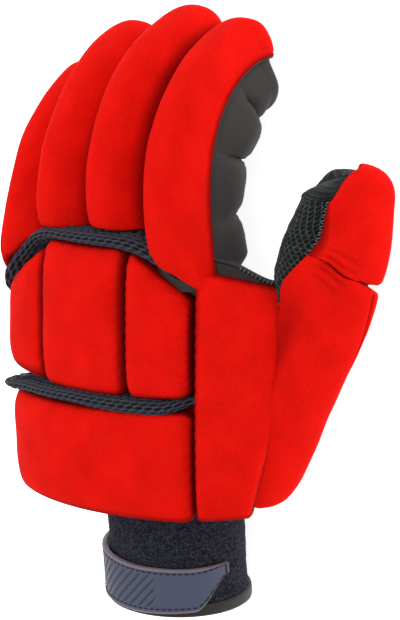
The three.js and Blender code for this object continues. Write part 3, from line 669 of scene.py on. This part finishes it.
def fingerPoint(finger, s, angle, kind, grow, half=0.0):
    # s runs 0 to 1 along the finger and on to 2 round its tip
    shape = fingerShape
    s, angle, grow = np.broadcast_arrays(np.asarray(s, float), angle, grow)
    ys, zs, bends = fingerAxis(finger)
    place = np.minimum(s, 1) * (len(ys) - 1)
    bend = carriedOn(bends, place)
    roll = math.radians(finger["roll"]) * (1 - smooth(s))
    forward = vec(0 * s, np.cos(bend), -np.sin(bend))
    side = vec(np.cos(roll), 0 * s, -np.sin(roll))
    up = unit(np.cross(side, forward))
    end = np.clip(s, 0, 1)
    origin = vec(finger["x"] + shape["drift"] * end ** 2, carriedOn(ys, place), carriedOn(zs, place))
    if kind == "skin":
        t = smooth(s / 0.3)
        size = (lerp(shape["rootHalf"], shape["skinHalf"], t) + half,
                lerp(*shape["skinTop"], end) - shape["skinDip"] * t * (1 - end),
                readRows(shape["depth"], end), finger["tip"] - 3,
                lerp(shape["rootPower"], shape["skinPower"], t))
    else:
        size = (lerp(shape["rootHalf"], shape["padHalf"], end) + half,
                lerp(*shape["padTop"], smooth(s)), shape["padDepth"], finger["tip"] + 2, padPower)
    return ovalPoint(origin, forward, side, up, angle, size, grow, tipTurn(s))


def tubeStations(v, share, first=0.0):
    # a share of a stall's rows lies along it, and the others go round its tip
    return np.where(v < share, lerp(first, 1, v / share),
                    1 + (v - share) / (1 - share) * (fingerShape["tipEnd"] - 1))


# Each stall is puckered where the elastic in its seam draws it in: lobes with pits between them,
# each pit's place along the finger and each lobe's height in millimetres
evenLobes = {"pits": (0.3, 0.56, 0.8), "swell": (2.2, 2.6, 2.6, 2.0)}
lobes = {
    "index": {"pits": (0.25, 0.54, 0.845), "swell": (4.6, 4.8, 5.1, 5.6)},
    "middle": evenLobes,
    "ring": evenLobes,
    "little": {"pits": (0.35, 0.6, 0.82), "swell": (2.0, 2.2, 2.2, 1.6)},
}


def lobeHeight(s, lobe):
    ends = (-0.1,) + lobe["pits"] + (1.3,)
    height = 0 * s
    for k, swell in enumerate(lobe["swell"]):
        place = np.clip((s - ends[k]) / (ends[k + 1] - ends[k]), 0, 1)
        height = height + swell * dome(place, 2.4) ** 0.9
    return height


def narrowing(name, s, angle):
    # millimetres off the half width on one side, from a place to the tip or round a place
    cut = fingers[name].get("narrow")
    if cut is None:
        return 0 * s
    along = smooth((s - cut["from"]) / cut["over"]) if "from" in cut else bump(s, cut["at"], cut["over"])
    return cut["mm"] * along * smooth(cut["side"] * np.sin(angle) / 0.8)


def stallNarrowing(name, s, angle):
    # the leather follows its pad, but the index finger's only beyond its last lobe
    return 0.8 * narrowing(name, s, angle) * (smooth((s - 1.3) / 0.3) if name == "index" else 1)


def fingerStall(name):
    finger, lobe = fingers[name], lobes[name]
    v, u = gridOf(120, 96, ring=True)
    s = tubeStations(v, 0.68)
    angle = u * 2 * np.pi
    narrow = stallNarrowing(name, s, angle)
    outer = fingerPoint(finger, s, angle, "skin", 0, -narrow)
    inner = fingerPoint(finger, s, angle, "skin", -hand["wall"], -narrow)
    palmSide = smooth((1.25 - np.abs(angle - math.radians(150))) / 0.85)
    otherSide = smooth((0.8 - np.abs(angle - math.radians(225))) / 0.7)
    fullness = smooth(s / 0.08) * smooth((1.5 - s) / 0.35)
    # gathers run out from each pit over the leather
    gathers = sum(bump(s + 0.03 * np.sin(5 * angle + k), pit, 0.012)
                  for pit in lobe["pits"] for k in (0, 2, 4))
    creases = 0.3 * fractal(outer, 9, 2.0) + 0.5 * fractal(outer * [1, 0.35, 1], 16, 5.0, 2)
    move = (palmSide + otherSide * 0.6) * lobeHeight(s, lobe)
    move = move + (creases - 0.45 * gathers) * (palmSide + otherSide)
    outer = settle(outer + tubeOutward(outer) * (move * fullness)[..., None], 0)
    return addShell(f"finger_stall_{name}_leather", outer, inner, materials["charcoal_leather"],
                    ring=True, pole=True)


def edgeOf(v, u, lengthMm, widthMm):
    # distance in millimetres from the nearest edge of a pad
    return np.minimum(np.minimum(v, 1 - v) * lengthMm, np.minimum(u, 1 - u) * widthMm)


def seamShade(v, u, lengthMm, widthMm, start=4, end=4, low=4, high=4):
    # painted shade: 0 at a sewn edge, in the gullies between pads where shade falls, and 1 on the
    # pad's face; each side has its own width in millimetres
    shade = smooth(v * lengthMm / start) * smooth((1 - v) * lengthMm / end)
    return shade * smooth(u * widthMm / low) * smooth((1 - u) * widthMm / high)


def soften(outer, inner, v, u, lengthMm, widthMm, seed):
    # foam under knit: slow unevenness, and small puckers where the edge is sewn down
    edge = edgeOf(v, u, lengthMm, widthMm)
    run = v * lengthMm + 0.7 * u * widthMm
    pucker = np.sin(run * 2 * np.pi / 6.0 + 2.5 * fractal(outer, 12, seed, 1))
    sewn = np.exp(-edge / 3.0) * smooth(edge / 0.8) * smooth((0.93 - v) / 0.08)
    move = 0.55 * fractal(outer, 26, seed + 4, 2) * smooth(edge / 6) + 0.22 * pucker * sewn
    return outer + outwardOf(outer, inner) * move[..., None]


def fingerPad(name):
    finger = fingers[name]
    v, u = gridOf(126, 72)
    across = eased(u, 0.35)
    startS = (readRows(finger["start"], across) - hand["knuckle"]) / finger["reach"]
    s = lerp(startS, finger["end"], spread(v))
    high = lerp(fingerShape["padHigh"], finger["wrap"], spread(v) ** 1.5)
    angle = np.radians(lerp(-fingerShape["padLow"], high, across))
    narrow = narrowing(name, s, angle)
    low = -1.9 * bump(s, 0.3, 0.22) if name == "little" else 0
    full = fingerPoint(finger, s, angle, "pad", low, -finger["slim"] - narrow)
    sewn = -stallNarrowing(name, s, angle)
    base = fingerPoint(finger, s, angle, "skin", hand["gap"] + fingerShape["padEdge"], sewn)
    crown = dome(across, 4.5)
    if finger["flank"]:
        # the side towards the thumb rolls down into the gully beside the next finger
        fall = 1 - np.clip(2 * across - 1, 0, 1) ** 2.2
        crown = np.where(across > 0.5, fall ** 0.8, crown)
    outer = lerp(base, full, (crown * dome(spread(v), 5))[..., None])
    inner = fingerPoint(finger, s, angle, "skin", hand["gap"] + 0.3, sewn)
    length = finger["reach"] * 1.5
    outer = settle(soften(outer, inner, v, across, length, padWidthMm, len(name) * 3.1), 0)
    # painted shade along the sewn edges, wide on the flank towards the thumb that rolls down into the
    # gully
    shade = seamShade(v, across, length, padWidthMm, high=8 if finger["flank"] else 0.4)
    return addShell(f"finger_pad_{name}_foam", outer, inner, materials["red_knit"], relief=shade)


for name in fingers:
    finishPiece(fingerStall(name), [f"finger_stall_{name}"])
    finishPiece(fingerPad(name), [f"finger_pad_{name}"])

print("stage: back pads")
backPads = {
    "back_pad_outer": {"low": -76, "high": [(0, -27), (1, -27)], "top": (-44, -12), "end": (-73, -73),
                       "height": 13.4, "gullyShadeMm": 2.5, "topShadeMm": 1.5, "corner": 3},
    "back_pad_centre": {"low": -25.5, "high": [(0, 24.5), (1, 24.5)], "top": (-8, -5.5),
                        "end": (-74, -72), "height": 13, "gullyShadeMm": 3.6, "topShadeMm": 1.5, "corner": 5.5},
    "back_pad_index": {"low": 26, "high": [(0, 56), (1, 56)], "top": (-4.5, -24), "end": (-72, -69),
                       "height": 14, "gullyShadeMm": 1.6, "topShadeMm": 1.5, "corner": 5.5},
    "wrist_pad": {"low": -74, "high": [(0, 56), (1, 56)], "top": (-84, -75.5), "end": (-129, -126),
                  "height": 13, "gullyShadeMm": 1.6, "topShadeMm": 1.5, "corner": 5.5},
    "side_pad": {"low": 57.5, "high": [(0, 96), (0.35, 94), (0.7, 88.5), (1, 81)], "top": (-12, -19),
                 "end": (-125, -122), "height": 15, "gullyShadeMm": 2, "topShadeMm": 1, "corner": 3},
}


def backPad(name):
    pad = backPads[name]
    v, u = gridOf(90, 144 if name == "wrist_pad" else 72)
    down, across = eased(v, 0.5), eased(u, 0.5)
    q = lerp(pad["low"], readRows(pad["high"], down), across)
    y = lerp(lerp(*pad["top"], across), lerp(*pad["end"], across), down)
    # the pads are cut with rounded corners
    width = pad["high"][0][1] - pad["low"]
    corner = np.clip(1 - np.minimum(across, 1 - across) * width / pad["corner"], 0, 1)
    y = y + pad["corner"] * (1 - np.sqrt(1 - 0.96 * corner ** 2)) * (2 * down - 1)
    rise = (dome(down, 3.6) * dome(across, 3.6)) ** 0.8
    outer = backPoint(q, y, lerp(fingerShape["padEdge"], pad["height"], rise))
    inner = backPoint(q, y, 0.2)
    length = abs(pad["end"][0] - pad["top"][0])
    outer = soften(outer, inner, down, across, length, width, pad["low"] * 0.37)
    # painted shade along the sewn edges, with its own widths at the top and in the gully on the thumb's
    # side
    shade = seamShade(down, across, length, width, start=pad["topShadeMm"], high=pad["gullyShadeMm"])
    return addShell(f"{name}_foam", outer, inner, materials["red_knit"], relief=shade)


for name in backPads:
    finishPiece(backPad(name), [name])

# Elastic mesh: place along the strip, its middle line, and half its width
strips = {
    "mesh_strip_upper": {"line": [(-77, -58, 3.0), (-66, -46, 3.2), (-56, -33, 3.4), (-48, -21.5, 3.5),
                                  (-31, -8, 3.5), (-20, -4.2, 3.4), (18, -2.2, 3.8), (29, -2.6, 4.6),
                                  (40, -6.5, 5.6), (52, -17, 4.6), (57, -23.5, 1.8)], "height": 12},
    "mesh_strip_lower": {"line": [(-80, -83, 2.4), (-58, -81.4, 2.9), (-40, -78.4, 3.3),
                                  (-5, -75.6, 3.7), (26, -75.2, 4.7), (44, -74.6, 4.5),
                                  (57, -69.5, 1.8)], "height": 12.4},
}
stripProud = {"mm": 5.5, "at": 0.14, "over": 0.09}
meshHoles = {"pitchMm": 4.2, "rowMm": 2.3, "longMm": 3.5, "wideMm": 1.6, "deepMm": 1.2}


def meshStrip(name):
    strip = strips[name]
    line = strip["line"]
    v, u = gridOf(360, 36)
    q = lerp(line[0][0], line[-1][0], v)
    half = readRows(line, q, 2)
    y = readRows(line, q) + lerp(half, -half, u)
    ends = dome(np.clip(lerp(0.03, 1, v), 0.02, 0.98), 3)
    # beside the little finger each strip stands proud of the pads, and then its end tucks in
    tall = strip["height"] + stripProud["mm"] * bump(v, stripProud["at"], stripProud["over"])
    height = lerp(1.2, tall, dome(u, 2.2) * ends)
    outer = backPoint(q, y, height)
    inner = backPoint(q, y, 0.2)
    # staggered rows of lens-shaped holes, measured over the puffed surface
    over = lengthAlong(outer, 1)
    over = over - over[:, -1:] / 2
    row = np.round(over / meshHoles["rowMm"])
    along = (q - line[0][0]) / meshHoles["pitchMm"] + 0.5 * (row % 2)
    alongMm = (along - np.round(along)) * meshHoles["pitchMm"]
    acrossMm = over - row * meshHoles["rowMm"] + 0.18 * alongMm
    inside = np.hypot(alongMm / meshHoles["longMm"] * 2, acrossMm / meshHoles["wideMm"] * 2)
    thread = smooth((inside - 0.75) / 0.5)
    sunk = (1 - thread) * meshHoles["deepMm"] + 0.25 * fractal(outer, 2.5, 1.0, 1)
    outer = outer - outwardOf(outer, inner) * sunk[..., None]
    return addShell(f"{name}_knit", outer, inner, materials["dark_mesh"], relief=thread)


for name in strips:
    finishPiece(meshStrip(name), [name])

print("stage: thumb")
thumb = {
    "line": [(54, -122, 31.5), (76.8, -78, 26.4), (98.4, -32, 20.4), (107, 2, 18), (107, 22, 18)],
    "back": (0.88, 0.2, 0.42), "tip": 16,
    "flare": [(0.5, 22), (0.6, 27), (0.7, 26.5), (0.85, 23.5), (1, 16.5)],
    "outside": [(0, 9), (0.14, 10), (0.35, 14), (0.62, 14), (0.75, 16), (1, 17.5)],
    "padHalf": [(0, 18.4), (0.12, 20), (0.25, 19.5), (0.42, 17.7), (0.6, 19.3), (0.75, 20.4), (1, 22.4)],
    "padLow": [(0, -62), (0.57, -62), (0.63, -57), (0.68, -42), (0.73, -31), (0.8, -24), (0.9, -25),
               (1, -27), (1.25, -15), (1.5, -4), (1.8, 10)],
    "padHigh": 94, "padTop": (21, 18), "padDepth": 2, "skinTop": 8, "skinDepth": (19, 21),
    "skinShort": 4.2, "slopeSquare": 1.2, "slopeShort": 0.25, "meshFrom": 0.14,
    "wrinkles": [(0.0, 0.005, 1), (0.02, 0.006, 1), (0.048, 0.008, 0.7)], "wrinkleMm": 0.8,
    "foldMm": 1.5,
}
# Each pad's two ends along the thumb, read from the crotch's side to the outer side: a slit
# parts the two pads, and it opens towards the outer side
slit = [(0, 0.722), (0.13, 0.705), (0.3, 0.675)]
thumbPads = {
    "thumb_base_pad": {"from": [(0, 0.06), (0.45, 0.055), (0.75, 0.08), (1, 0.12)],
                       "to": slit + [(0.55, 0.644), (0.8, 0.62), (1, 0.6)]},
    "thumb_tip_pad": {"from": slit + [(0.55, 0.652), (0.8, 0.643), (1, 0.645)],
                      "to": [(0, 1.66), (0.25, 1.76), (1, 1.8)]},
}


def curveThrough(points, samples=400):
    # a smooth curve through its points, as in the part's source
    p = np.array(points, float)
    p = np.concatenate([[2 * p[0] - p[1]], p, [2 * p[-1] - p[-2]]])
    out = []
    for t in np.linspace(0, 1, samples):
        place = t * (len(points) - 1)
        i = min(int(place), len(points) - 2)
        w = place - i
        x0, x1, x2, x3 = p[i:i + 4]
        d0, d1, d2 = (math.sqrt(np.linalg.norm(b - a)) for a, b in ((x0, x1), (x1, x2), (x2, x3)))
        t1 = ((x1 - x0) / d0 - (x2 - x0) / (d0 + d1) + (x2 - x1) / d1) * d1
        t2 = ((x2 - x1) / d1 - (x3 - x1) / (d1 + d2) + (x3 - x2) / d2) * d1
        out.append(x1 + t1 * w + (-3 * x1 + 3 * x2 - 2 * t1 - t2) * w ** 2
                   + (2 * x1 - 2 * x2 + t1 + t2) * w ** 3)
    return np.array(out)


thumbCurve = curveThrough(thumb["line"])
thumbWay = unit(np.gradient(thumbCurve, axis=0))


def onCurve(table, at):
    places = np.linspace(0, 1, len(table))
    return np.stack([np.interp(at, places, table[:, k]) for k in range(3)], axis=-1)


def thumbPoint(s, angle, kind, grow):
    s, angle, grow = np.broadcast_arrays(np.asarray(s, float), angle, grow)
    at = np.clip(s, 0, 1)
    origin, forward = onCurve(thumbCurve, at), unit(onCurve(thumbWay, at))
    back, n = np.array(thumb["back"]), np.sin(angle)
    up = unit(back - forward * (forward @ back)[..., None])
    side = np.cross(forward, up)
    if kind == "pad":
        size = readRows(thumb["padHalf"], at), lerp(*thumb["padTop"], at), thumb["padDepth"], thumb["tip"]
        lift, shrink = tipTurn(s)
    else:
        half = np.where(n < 0, readRows(thumb["flare"], at), readRows(thumb["outside"], at))
        size = half, thumb["skinTop"], lerp(*thumb["skinDepth"], at), thumb["tip"] - thumb["skinShort"]
        # the mesh runs up to the tip in a slope on its free side
        lift, shrink = tipTurn(s, lerp(fingerShape["tipSquare"], thumb["slopeSquare"], smooth(-n / 0.5)))
        lift = lift * (1 - thumb["slopeShort"] * smooth(-n / 0.6))
    return ovalPoint(origin, forward, side, up, angle, size + (padPower,), grow, (lift, shrink))


spacerCells = {"wideMm": 3.0, "tallMm": 2.1, "lineMm": 0.24, "deepMm": 0.5}


def scallopLines(a, b):
    # 1 on the thread round each cell and 0 inside it: staggered rows of rounded cells
    row = np.floor(b / spacerCells["tallMm"])
    place = a / spacerCells["wideMm"] + 0.5 * (row % 2)
    place = np.abs(place - np.round(place)) * 2
    above = b / spacerCells["tallMm"] - row
    away = np.minimum(np.abs(above - place ** 2.4), np.abs(above + 1 - place ** 2.4))
    away = away * spacerCells["tallMm"] / np.sqrt(1 + (1.8 * place ** 1.4) ** 2)
    return 1 - smooth((away - spacerCells["lineMm"] / 2) / 0.2)


def thumbStall():
    v, u = gridOf(288, 318, ring=True)
    s = tubeStations(v, 0.72, thumb["meshFrom"])
    outer = thumbPoint(s, u * 2 * np.pi, "skin", 0)
    inner = thumbPoint(s, u * 2 * np.pi, "skin", -hand["wall"])
    girth = np.cumsum(np.linalg.norm(np.roll(outer, -1, axis=1) - outer, axis=2), axis=1)
    along = lengthAlong(outer.mean(axis=1, keepdims=True), 0)
    line = scallopLines(girth, along + 0 * girth)
    # some of the threads catch less light
    line = line * np.clip(0.75 + 0.6 * fractal(outer, 3.0, 8.0, 1), 0.25, 1)
    move = (line - 0.5) * spacerCells["deepMm"] * smooth((1.5 - s) / 0.2)
    outer = settle(outer + tubeOutward(outer) * move[..., None], 0)
    return addShell("thumb_stall_mesh", outer, inner, materials["black_mesh"], ring=True, pole=True,
                    relief=line)


def thumbPad(name):
    pad = thumbPads[name]
    v, u = gridOf(96, 84)
    across = eased(u, 0.35)
    first, last = readRows(pad["from"], across), readRows(pad["to"], across)
    s = lerp(first, last, spread(v))
    angle = np.radians(lerp(readRows(thumb["padLow"], s), thumb["padHigh"], across))
    full = thumbPoint(s, angle, "pad", 0)
    # the tip pad's edge thins out to nothing at its corner on the mesh
    thin = 0.9 * smooth((s - 1.2) / 0.4) * smooth((0.35 - across) / 0.25)
    base = thumbPoint(s, angle, "skin", hand["gap"] + fingerShape["padEdge"] * (1 - thin))
    # the two pads run into each other near the crotch, and a slit opens between them outside it
    isTip = name == "thumb_tip_pad"
    meets = (v < 0.5) if isTip else (v > 0.5)
    ends = dome(spread(v), 8)
    ends = np.where(meets, lerp(ends, 1, 0.9 * smooth((0.5 - across) / 0.2)), ends)
    outer = lerp(base, full, (dome(across, 5) * ends)[..., None])
    inner = thumbPoint(s, angle, "skin", hand["gap"] + 0.6)
    outer = soften(outer, inner, v, across, thumbPadMm, padWidthMm, 2.2 if isTip else 6.5)
    # short wrinkles where the pads meet, and the fold along the base pad's outer edge
    fromSlit = (s - first) if isTip else (last - s)
    wrinkles = sum(share * bump(fromSlit, place, wide) for place, wide, share in thumb["wrinkles"])
    move = -thumb["wrinkleMm"] * wrinkles * smooth((0.36 - across) / 0.14) * smooth(across / 0.06)
    if not isTip:
        fold = bump(across, lerp(0.82, 0.66, (s - 0.36) / 0.24), 0.024)
        move = move - thumb["foldMm"] * fold * smooth((s - 0.34) / 0.1) * smooth((last - s) / 0.02)
    outer = settle(outer + outwardOf(outer, inner) * move[..., None], 0)
    # painted shade along the sewn edges, wide on the base pad's low side, where it runs in under the side
    # pad
    shade = seamShade(v, across, thumbPadMm, padWidthMm, start=1, end=1, low=0.6 if isTip else 9,
                      high=1)
    if not isTip:
        # the painted shade is faint on the base pad's edges, and gone near the tip pad
        shade = lerp(0.35 + 0.65 * shade, 1, smooth((s - 0.4) / 0.25))
    # painted shade in the wrinkles and the fold, darker where they are pressed in
    shade = shade * (1 - 0.5 * np.clip(-move, 0, 1))
    return addShell(f"{name}_foam", outer, inner, materials["red_knit"], relief=shade)


finishPiece(thumbStall(), ["thumb_stall"])
for name in thumbPads:
    finishPiece(thumbPad(name), [name])

print("stage: wrist")


def cuffSleeve():
    v, u = gridOf(90, 216, ring=True)
    outer = cuffPoint(u, v, 0)
    normal = cuffPoint(u, v, 1) - outer
    # small curls of yarn, and slack folds
    curls = 0.35 * fractal(outer, 2.2, 1.0, 2) + 0.8 * fractal(outer, 22, 4.0, 2)
    outer = settle(outer + normal * curls[..., None], 0)
    inner = settle(cuffPoint(u, v, -hand["wall"]), hand["wall"])
    return addShell("cuff_sleeve", outer, inner, materials["cuff_knit"], ring=True)


hem = {"from": 0.98, "to": 1.075, "over": (0.35, 1.5), "under": (1.7, 2.6), "thick": 0.8}


def cuffBinding():
    v, u = gridOf(12, 240, ring=True)
    s, bulge = lerp(hem["from"], hem["to"], v), dome(v, 3)
    outer = settle(cuffPoint(u, s, lerp(*hem["over"], bulge)), 0)
    inner = settle(cuffPoint(u, s, -lerp(*hem["under"], bulge)), hem["thick"])
    return addShell("cuff_hem_tape", outer, inner, materials["hem_tape"], ring=True)


strap = {
    "turnFrom": 0.05, "turnTo": 0.485, "outer": 2.9, "inner": 1.0, "cutFrom": 0.8, "cut": 0.75,
    "lengthMm": 98.0, "widthMm": 20.0, "ribMm": 4.6, "ribSlant": 1.1, "ribDeepMm": 0.45, "ribsTo": 0.62,
    "ribsInMm": 2.6, "rimMm": 0.9, "rimUpMm": 0.35, "grooveInMm": 2.0, "grooveMm": 0.4, "edgeMm": 1.2,
    "edges": [(0, 0.65, 1.02), (0.5, 0.7, 1.05), (0.8, 0.71, 1.03), (1, 0.7, 0.99)],
}


def strapPlace(v, u):
    slope = strap["cut"] * smooth((u - strap["cutFrom"]) / (1 - strap["cutFrom"]))
    top, bottom = readRows(strap["edges"], u), readRows(strap["edges"], u, 2)
    return lerp(strap["turnFrom"], strap["turnTo"], u), lerp(top, lerp(bottom, top, slope), v)


def strapPiece():
    v, u = gridOf(72, 330)
    turn, s = strapPlace(v, u)
    edge = edgeOf(v, u, strap["widthMm"], strap["lengthMm"])
    slant = (u * strap["lengthMm"] + v * strap["widthMm"] * strap["ribSlant"]) / strap["ribMm"]
    ribs = smooth((np.abs(slant - np.round(slant)) - 0.14) / 0.08)
    ribbed = smooth((strap["ribsTo"] - u) / 0.03) * smooth((edge - strap["ribsInMm"]) / 0.5)
    ribs = lerp(1.0, ribs, ribbed)
    rim = smooth((strap["rimMm"] - edge) / 0.4 + 0.5)
    groove = strap["grooveMm"] * bump(edge, strap["grooveInMm"], 0.45)
    rounded = strap["edgeMm"] * np.exp(-edge / 0.35)
    move = (ribs - 1) * strap["ribDeepMm"] + strap["rimUpMm"] * rim - groove - rounded
    outer = cuffPoint(turn, s, strap["outer"] + move)
    inner = cuffPoint(turn, s, strap["inner"])
    return addShell("strap_tab", outer, inner, materials["strap_rubber"], relief=ribs + rim)


# rows of stitches near the strap's top, tip and low edges: how many, and where they start and end
strapSeams = [(30, (0.03, 0.1), (0.97, 0.1)), (8, (0.978, 0.12), (0.978, 0.88)),
              (30, (0.03, 0.9), (0.97, 0.9))]


def strapStitches():
    paths = []
    for count, first, last in strapSeams:
        for k in range(count):
            run = (k + np.linspace(0.18, 0.82, 6)) / count
            turn, s = strapPlace(lerp(first[1], last[1], run), lerp(first[0], last[0], run))
            lift = strap["outer"] - 0.3 + 0.35 * np.sin(np.linspace(0, np.pi, 6))
            paths.append(cuffPoint(turn, s, lift))
    return addStitches("strap_stitches", paths, 0.26, threadDark)


finishPiece(cuffSleeve(), ["cuff"])
finishPiece(cuffBinding(), ["cuff_binding"])
finishPiece(strapPiece(), ["strap"])
finishPiece(strapStitches(), [])

print("stage: seams")
crotch = {"from": 61.0, "to": 95.5, "behind": -1.5, "topMm": 2.6, "underMm": 0.6, "wide": 6.0,
          "narrow": 1.2, "narrowFrom": 70, "narrowOver": 20, "padMm": 38}


def crotchEdge(place, ahead, lift):
    # along the side pad's front edge, beside the index finger
    pad = backPads["side_pad"]
    y = lerp(*pad["top"], (place - pad["low"]) / crotch["padMm"])
    return backPoint(place, y + ahead, lift)


def webAhead(place):
    # the web rises a little over the side pad's front edge, most beside the finger
    away = smooth((place - crotch["narrowFrom"]) / crotch["narrowOver"])
    return lerp(crotch["wide"], crotch["narrow"], away)


def crotchWeb():
    v, u = gridOf(36, 12)
    place = lerp(crotch["from"], crotch["to"], v)
    ahead = lerp(crotch["behind"], webAhead(place), u)
    top, under = (crotchEdge(place, ahead, crotch[side]) for side in ("topMm", "underMm"))
    top = top + vec(0 * v, 0 * v, 0.3 * fractal(top, 5, 6.0, 2))
    return addShell("crotch_web_leather", top, under, materials["charcoal_leather"], relief=0 * v)


def whipStitches():
    # grey thread over the edge where the thumb's mesh meets the tip pad, and over the seam at
    # the crotch between the thumb and the index finger
    paths = []
    run = np.linspace(-1, 1, 6)
    for place in np.linspace(0.72, 1.0, 18):
        edge = readRows(thumb["padLow"], place)
        lift = 0.5 + 0.9 * np.cos(run * np.pi / 2)
        slant = 0.006 * math.sin(place * 190)
        paths.append(thumbPoint(place + slant * run, np.radians(edge - 2 + 3.6 * run), "skin", lift))
    for place in np.linspace(76, 94, 12):
        lift = 3.2 + 1.5 * np.cos(run * np.pi / 2)
        paths.append(crotchEdge(place + 0.5 * run, webAhead(place) + 0.9 * run, lift))
    return addStitches("crotch_whip_stitches", paths, 0.2, threadGrey)


def seamCordsAndShade():
    # dark cords in the seams, which partly stand for the shade in them:
    # index finger's pad to its leather, and the leather to the side pad
    finger = fingers["index"]
    v = np.linspace(0.08, 0.99, 120)
    first = (finger["start"][-1][1] - hand["knuckle"]) / finger["reach"]
    high = lerp(fingerShape["padHigh"], finger["wrap"], spread(v) ** 1.5)
    s = lerp(first, finger["end"], spread(v))
    angle = np.radians(high + 1.5)
    along = fingerPoint(finger, s, angle, "skin", hand["gap"] + 1.2, -stallNarrowing("index", s, angle))
    place = np.linspace(60, 95, 40)
    front = crotchEdge(place, webAhead(place), 2.4)
    return addStitches("seam_cords_and_shade", [along, front], [0.7, 1.2], threadDark)


finishPiece(crotchWeb(), [])
finishPiece(whipStitches(), [])
finishPiece(seamCordsAndShade(), [])

print("stage: studio")
studio = {
    "floor": "#FAFAFA", "glow": 0.85, "sky": 0.64, "aim": (0, 0, 0.03),
    "lights": {"key": ((0.9, 0.5, 1.7), 1.9, 12.4), "left": ((-1.1, 0.2, 1.4), 1.6, 13.4)},
    # the photo: its height and middle in pixels, the size of one, the camera's angles and distance
    "heightPx": 620, "middlePx": (200, 310), "pxMm": 0.44, "theta": 48, "phi": 12, "distanceMm": 2600,
    "sensorMm": 36,
    # two places read from it: a column and its offset, and the row of a point on the knuckles
    "columnPx": 174.5, "columnMm": 14.86, "knucklePx": 232, "knuckle": (15, 0, 67.0), "nearMm": 45,
}


def addFloor():
    mesh = bpy.data.meshes.new("floor")
    mesh.from_pydata([(-4, -4, 0), (4, -4, 0), (4, 4, 0), (-4, 4, 0)], [], [(0, 1, 2, 3)])
    material = bpy.data.materials.new("acrylic_light_table_white")
    material.use_nodes = True
    # lit from below, so the photo's white ground keeps hardly any shadow
    setInputs(material.node_tree.nodes["Principled BSDF"], {
        "Base Color": linear(studio["floor"]), "Roughness": 0.9, "Emission Color": (1, 1, 1, 1),
        "Emission Strength": studio["glow"]})
    mesh.materials.append(material)
    addObject("floor", mesh)


def addLight(name, place, size, power):
    lamp = bpy.data.lights.new(name, "AREA")
    lamp.shape, lamp.size, lamp.energy = "DISK", size, power
    light = addObject(name, lamp)
    light.location = place
    light.rotation_mode = "QUATERNION"
    light.rotation_quaternion = (Vector(studio["aim"]) - Vector(place)).to_track_quat("-Z", "Y")


def addWorld():
    world = bpy.data.worlds.new("studio")
    world.use_nodes = True
    background = world.node_tree.nodes["Background"]
    setInputs(background, {"Color": (1, 1, 1, 1), "Strength": studio["sky"]})
    bpy.context.scene.world = world


def addCamera():
    theta, phi = math.radians(studio["theta"]), math.radians(studio["phi"])
    out = np.array([math.sin(theta) * math.cos(phi), math.sin(phi), math.cos(theta) * math.cos(phi)])
    up = np.array([-math.sin(theta) * math.sin(phi), math.cos(phi), -math.cos(theta) * math.sin(phi)])
    right = np.cross(up, out)
    # the photo's middle, on the plane through the glove
    middle, scale = studio["middlePx"], studio["pxMm"]
    aimRight = (middle[0] - studio["columnPx"]) * scale - studio["columnMm"]
    aimUp = up @ np.array(studio["knuckle"]) - (middle[1] - studio["knucklePx"]) * scale
    aim = right * aimRight + up * aimUp + out * studio["nearMm"]
    place = toWorld(aim + out * studio["distanceMm"])[0]
    camera = bpy.data.cameras.new("camera")
    camera.sensor_width = studio["sensorMm"]
    camera.lens = studio["sensorMm"] * studio["distanceMm"] / (studio["heightPx"] * scale)
    viewer = addObject("camera", camera)
    matrix = np.eye(4)
    matrix[:3] = np.stack([right, up, out, place], axis=1)
    viewer.matrix_world = Matrix(matrix.tolist())
    bpy.context.scene.camera = viewer


addFloor()
for name, (place, size, power) in studio["lights"].items():
    addLight(name, place, size, power)
addWorld()
bpy.context.scene.view_settings.view_transform = "Standard"
addCamera()
